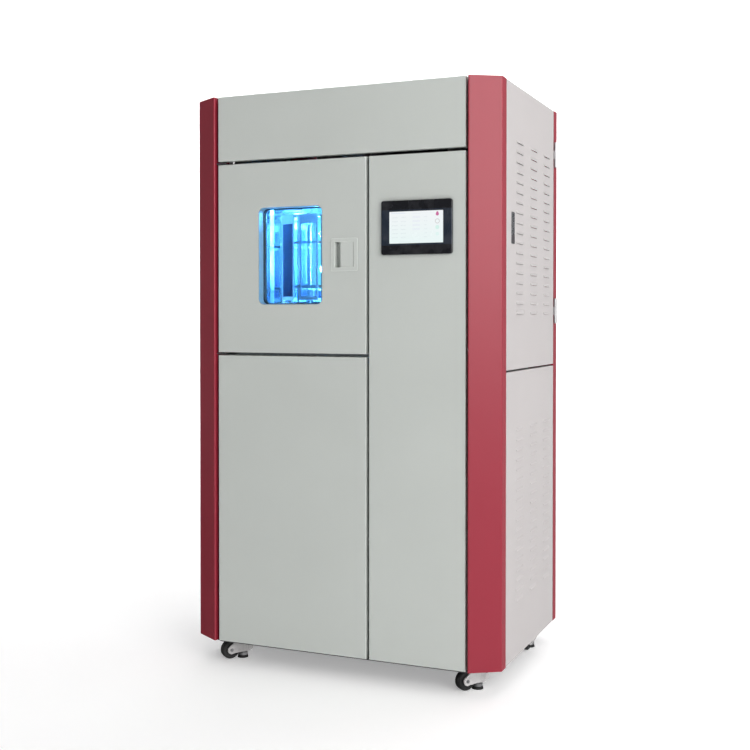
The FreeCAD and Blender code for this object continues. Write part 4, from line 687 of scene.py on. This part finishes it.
def hinge_screws():
    """Three countersunk screws in each leaf that is fixed to the rear post."""
    low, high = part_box("side_hinge_post_leaves")
    leaf, half, inset, pitch = 0.002, 0.038, 0.0105, 0.026
    spots = []
    for middle in (low.z + half, high.z - half):
        for step in (-pitch, 0.0, pitch):
            spots.append((low.x + leaf - 0.0004, high.y - inset, middle + step))
    grow("hinge_screws", "cabinet", screw_steel, heads(spots, (1, 0, 0), 0.0036, 0.0012))


def rear_screws():
    """Screws down both sides of each rear panel, and round the exhaust's flange."""
    low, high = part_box("rear_panels")
    inset, from_end, from_side = 0.012, 0.03, 0.20
    split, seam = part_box("chamber_door")[0].z, 0.009
    y = high.y - SUNK
    spots = []
    for bottom, top in ((low.z, split - seam), (split, high.z)):
        spots += grid((low.x + inset, high.x - inset), y, evenly(bottom + from_end, top - from_end, 4))
        spots += grid(evenly(low.x + from_side, high.x - from_side, 2), y, (bottom + inset, top - inset))
    grow("rear_panel_screws", "cabinet", screw_steel, heads(spots, (0, 1, 0), 0.0048, 0.0026))
    collar_low, collar_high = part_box("exhaust_collar")
    middle = (collar_low + collar_high) / 2
    reach = (collar_high.x - collar_low.x) / 2 - 0.006
    flange = 0.0015
    spots = []
    for i in range(6):
        turn = math.pi / 3 * (i + 0.5)
        spots.append((middle.x + reach * math.cos(turn), high.y + flange, middle.z + reach * math.sin(turn)))
    grow("collar_screws", "cabinet", screw_steel, heads(spots, (0, 1, 0), 0.0034, 0.0018))


def roof_screws():
    """Screws along the front and back flanges of the roof."""
    low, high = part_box("roof_panel")
    inset, reach = 0.016, 0.33
    spots = [(x, y, high.z - SUNK) for x in evenly(-reach, reach, 4) for y in (low.y + inset, high.y - inset)]
    grow("roof_screws", "cabinet", screw_steel, heads(spots, (0, 0, 1), 0.0048, 0.0026))


def caster_trim():
    """Axle nuts on both cheeks of each fork, and the dark screw in the side of its block."""
    for joint in frame["joints"]:
        if not joint["name"].endswith("_roll"):
            continue
        corner = joint["name"][:-len("_roll")]
        axle, centre = Vector(joint["axis"]), Vector(joint["pos_m"])
        swivel = next(j for j in frame["joints"] if j["name"] == corner + "_swivel")
        stem = Vector(swivel["pos_m"])
        back = Vector((stem.x - centre.x, stem.y - centre.y, 0.0)).normalized()
        to_cheek = 0.0163 - 0.0002
        plug_height, plug_behind = 0.0472, 0.0195
        fork = corner + "_fork"

        def nuts(bm):
            for way in (-1, 1):
                hex_head(bm, centre + axle * way * to_cheek, axle * way, 0.0042, 0.0028)

        def plugs(bm):
            for way in (-1, 1):
                spot = Vector((stem.x, stem.y, plug_height)) + back * plug_behind + axle * way * to_cheek
                button_head(bm, spot, axle * way, 0.0042, 0.0016)

        grow(corner + "_axle_nuts", fork, screw_steel, nuts)
        grow(corner + "_block_screws", fork, black_oxide, plugs)


def fan_guard():
    """A guard of bent wire in front of the air outlet in the chamber's back wall."""
    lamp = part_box("lamp_tube")
    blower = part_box("blower_housing")
    x = (lamp[0].x + lamp[1].x) / 2
    centre = Vector((x, blower[0].y - 0.0052, (blower[0].z + blower[1].z) / 2))
    wire, rim = 0.0011, 0.046

    def outward(quarter):
        """One of four slanting ways out from the middle."""
        turn = math.pi / 4 + math.pi / 2 * quarter
        return Vector((math.cos(turn), 0.0, math.sin(turn)))

    def build(bm):
        for radius in (0.008, 0.018, 0.028, 0.038, rim):
            ring_tube(bm, centre, radius, wire)
        for i in range(2):
            start = centre - outward(i) * rim + Vector((0.0, wire * 1.6, 0.0))
            turned(bm, start, outward(i), [(wire, 0.0), (wire, rim * 2)], count=8)
        for i in range(4):
            foot = centre + outward(i) * rim
            turned(bm, foot, (0, 1, 0), [(0.0016, 0.0), (0.0016, 0.0036)], count=8)
            button_head(bm, foot - Vector((0, 0.0012, 0)), (0, -1, 0), 0.0040, 0.0022)

    grow("fan_guard", "cabinet", steel_plated, build)


def window_trim():
    """The plastic lining of the door's window opening, its pale blue painted light from the lamp, and the
    gasket that frames the pane.
    """
    low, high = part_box("window_panes")
    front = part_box("chamber_door")[0].y
    sheet, corner = 0.0007, 0.0162
    gasket_inner, gasket_deep = 0.0032, 0.0015
    back = low.y - SUNK

    def inset_loop(inset):
        return rounded_loop(low.x + inset, low.z + inset, high.x - inset, high.z - inset, corner - inset)

    def lining(bm):
        upright_frame(bm, inset_loop(0.0), inset_loop(sheet), front + 0.0006, back)

    def gasket(bm):
        upright_frame(bm, inset_loop(sheet + 0.0001), inset_loop(gasket_inner), back - gasket_deep, back)

    grow("window_lining", "chamber_door", lining_painted_blue, lining)
    grow("window_gasket", "chamber_door", gasket_rubber, gasket)


def draught_flap():
    """The thin flap that falls shut in the exhaust's throat while no air moves, on its pin."""
    low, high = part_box("exhaust_collar")
    middle = (low + high) / 2
    y = low.y + 0.0030
    radius, thick = 0.036 - 0.0006, 0.0008
    pin_up, pin_radius = radius * 0.3, 0.0012

    def build(bm):
        turned(bm, (middle.x, y, middle.z), (0, 1, 0), [(radius, 0.0), (radius, thick)], count=48)
        half = math.sqrt(radius * radius - pin_up * pin_up)
        end = (middle.x - half, y + thick + 0.0010, middle.z + pin_up)
        turned(bm, end, (1, 0, 0), [(pin_radius, 0.0), (pin_radius, half * 2)], count=12)

    grow("draught_flap", "cabinet", screw_steel, build)


def door_inside():
    """The clamp frame round the window on the door's inner skin, and the skin's screws."""
    low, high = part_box("window_panes")
    skin_low, skin_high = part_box("door_inner_panel")
    y, thick, wide, lip = skin_high.y, 0.0018, 0.016, 0.003

    def clamp(bm):
        outer = rounded_loop(low.x - wide, low.z - wide, high.x + wide, high.z + wide, 0.030)
        inner = rounded_loop(low.x + lip, low.z + lip, high.x - lip, high.z - lip, 0.014)
        upright_frame(bm, outer, inner, y, y + thick)

    grow("window_clamp", "chamber_door", steel_plated, clamp)
    edge, from_corner = wide / 2 - lip / 2, 0.03
    face = y + thick - SUNK
    spots = grid((low.x - edge, high.x + edge), face, evenly(low.z, high.z, 4))
    spots += grid(evenly(low.x + from_corner, high.x - from_corner, 3), face, (low.z - edge, high.z + edge))
    grow("clamp_screws", "chamber_door", screw_steel, heads(spots, (0, 1, 0), 0.0030, 0.0016))
    inset, hinge_inset, from_end, from_side = 0.010, 0.024, 0.03, 0.10
    face = y - SUNK
    upright = evenly(skin_low.z + from_end, skin_high.z - from_end, 5)
    level = evenly(skin_low.x + from_side, skin_high.x - from_side, 3)
    spots = grid((skin_low.x + hinge_inset, skin_high.x - inset), face, upright)
    spots += grid(level, face, (skin_low.z + inset, skin_high.z - inset))
    build = heads(spots, (0, 1, 0), 0.0036, 0.0017)
    grow("door_skin_screws", "chamber_door", screw_steel, build)


def wiring_ducts():
    """Slotted wiring ducts above, between and below the two rails of the electrical bay."""
    low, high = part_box("mounting_plate")
    face = high.x - 0.0075
    deep, tall, finger, gap = 0.040, 0.028, 0.0045, 0.0040
    back_wall, finger_wall, lid_over = 0.0015, 0.0014, 0.0006
    y0, y1 = low.y + 0.012, high.y - 0.012
    breakers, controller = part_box("circuit_breakers"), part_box("controller")
    middles = (
        breakers[1].z + 0.030,
        (breakers[0].z + controller[1].z) / 2,
        controller[0].z - 0.026,
    )

    def build(bm):
        lid = face + deep - back_wall
        for middle in middles:
            z0, z1 = middle - tall / 2, middle + tall / 2
            block(bm, (face, y0, z0), (face + back_wall, y1, z1))
            block(bm, (lid, y0, z0 - lid_over), (face + deep, y1, z1 + lid_over), lid_over)
            for i in range(int((y1 - y0) / (finger + gap))):
                y = y0 + (finger + gap) * i
                for z in (z0, z1 - finger_wall):
                    block(bm, (face + back_wall, y, z), (lid, y + finger, z + finger_wall))

    grow("wiring_ducts", "cabinet", duct_plastic, build)


hinge_screws()
rear_screws()
window_trim()
draught_flap()
roof_screws()
caster_trim()
fan_guard()
door_inside()
wiring_ducts()


# Stage, light and camera.

BLUE_LIGHT = (0.34, 0.68, 1.0)


def lit(name, at, toward, size, power, colour=(1, 1, 1)):
    """A soft rectangular light at a place, turned toward another."""
    data = bpy.data.lights.new(name, "AREA")
    data.shape = "RECTANGLE"
    data.size, data.size_y = size
    data.energy = power
    data.color = colour
    light = placed(name, data)
    light.location = at
    light.rotation_euler = (Vector(toward) - Vector(at)).to_track_quat("-Z", "Y").to_euler()
    light.visible_camera = False


def studio():
    """A pale floor that curves up into a backdrop far behind the object."""
    near, bend, radius, top, half_width = -14.0, 6.0, 3.0, 14.0, 22.0
    profile = [(near, 0.0)]
    for i in range(13):
        angle = math.radians(90 * i / 12)
        profile.append((bend + radius * math.sin(angle), radius - radius * math.cos(angle)))
    profile.append((bend + radius, top))
    bm = bmesh.new()
    rows = [[bm.verts.new((x, y, z - 0.0002)) for x in (-half_width, half_width)] for y, z in profile]
    for a, b in zip(rows, rows[1:]):
        bm.faces.new((a[0], a[1], b[1], b[0]))
    look = Look("stage_paper")
    paper = look.mix(look.span(look.noise(0.9, 3.0), 0.3, 0.7), (0.85, 0.85, 0.855, 1), (0.88, 0.88, 0.88, 1))
    look.set(Base_Color=paper, Roughness=look.span(look.noise(160.0), 0.3, 0.7, 0.85, 0.95))
    look.set(Emission_Color=paper, Emission_Strength=0.36)
    floor = meshed("stage_floor", bm, look.material)
    floor.visible_glossy = False


def dome():
    """A pale studio all round, for the views that look past the backdrop."""
    bm = bmesh.new()
    bmesh.ops.create_uvsphere(bm, u_segments=48, v_segments=24, radius=30.0)
    look = Look("stage_walls")
    paper = look.mix(look.span(look.noise(0.2, 2.0), 0.3, 0.7), (0.96, 0.96, 0.96, 1), (1.0, 1.0, 1.0, 1))
    look.set(Base_Color=(0.0, 0.0, 0.0, 1.0), Emission_Color=paper)
    look.set(Emission_Strength=1.0, Specular_IOR_Level=0.0)
    walls = meshed("stage_dome", bm, look.material)
    walls.visible_diffuse = False
    walls.visible_glossy = False
    walls.visible_transmission = False
    walls.visible_shadow = False


def air():
    """Soft light from all round, brighter from the right than from the left."""
    world = bpy.data.worlds.new("studio_air")
    bpy.context.scene.world = world
    world.use_nodes = True
    tree = world.node_tree
    sky = tree.nodes["Background"]
    sky.inputs["Color"].default_value = (1.0, 1.0, 1.0, 1.0)
    way = tree.nodes.new("ShaderNodeTexCoord")
    parts = tree.nodes.new("ShaderNodeSeparateXYZ")
    tree.links.new(way.outputs["Generated"], parts.inputs[0])
    level = tree.nodes.new("ShaderNodeMapRange")
    for key, value in (("From Min", -0.7), ("From Max", 0.8), ("To Min", 0.06), ("To Max", 0.40)):
        level.inputs[key].default_value = value
    tree.links.new(parts.outputs[0], level.inputs["Value"])
    tree.links.new(level.outputs[0], sky.inputs["Strength"])


def burner():
    """What the burner gives off, from points in the gap between tube and filter."""
    low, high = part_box("lamp_tube")
    middle = (low + high) / 2
    reach = 0.027
    number = 0
    for height in (low.z + 0.04, middle.z, high.z - 0.05):
        for i in range(3):
            turn = math.radians(-90 + 120 * i)
            data = bpy.data.lights.new(f"burner_{number}", "POINT")
            data.energy = 8.5
            data.color = BLUE_LIGHT
            data.shadow_soft_size = 0.012
            out = Vector((math.cos(turn), math.sin(turn), 0.0)) * reach
            placed(f"burner_{number}", data).location = Vector((middle.x, middle.y, height)) + out
            number += 1


studio()
dome()
air()
lit("key_right", (3.7, -3.0, 2.5), (0.2, -0.2, 1.0), (3.4, 3.4), 150, (1.0, 0.985, 0.97))
lit("side_right", (4.8, 0.6, 2.4), (0.45, 0.0, 0.9), (2.4, 2.4), 28, (1.0, 0.97, 0.97))
lit("edge_left", (-5.0, 1.4, 1.4), (-0.4, -0.3, 1.0), (2.4, 3.2), 6)
lit("window_glow", (0.004, -0.262, 1.18), (-0.245, -0.318, 1.18), (0.02, 0.30), 1.0, BLUE_LIGHT)
lit("overhead", (0.0, 0.5, 5.0), (0.0, 0.0, 0.0), (5.0, 5.0), 60)
lit("backdrop_wash", (-3.0, 4.5, 6.5), (-3.0, 9.0, 1.5), (16.0, 1.5), 820)
burner()

# The camera in pixels of a square picture, and its pitch and yaw in degrees.
FOCAL, SQUARE, HORIZON = 1125.3, 750, 334.3
PITCH_DOWN, YAW = 0.83, 23.09
SENSOR = 36.0

camera = placed("camera", bpy.data.cameras.new("camera"))
camera.data.sensor_width = SENSOR
camera.data.lens = FOCAL / SQUARE * SENSOR
camera.data.shift_y = -(SQUARE / 2 - HORIZON) / SQUARE
camera.data.clip_end = 60.0
camera.location = (1.322, -3.1601, 1.005)
camera.rotation_euler = (math.radians(90 - PITCH_DOWN), 0.0, math.radians(YAW))
scene = bpy.context.scene
scene.camera = camera
scene.view_settings.view_transform = "Standard"
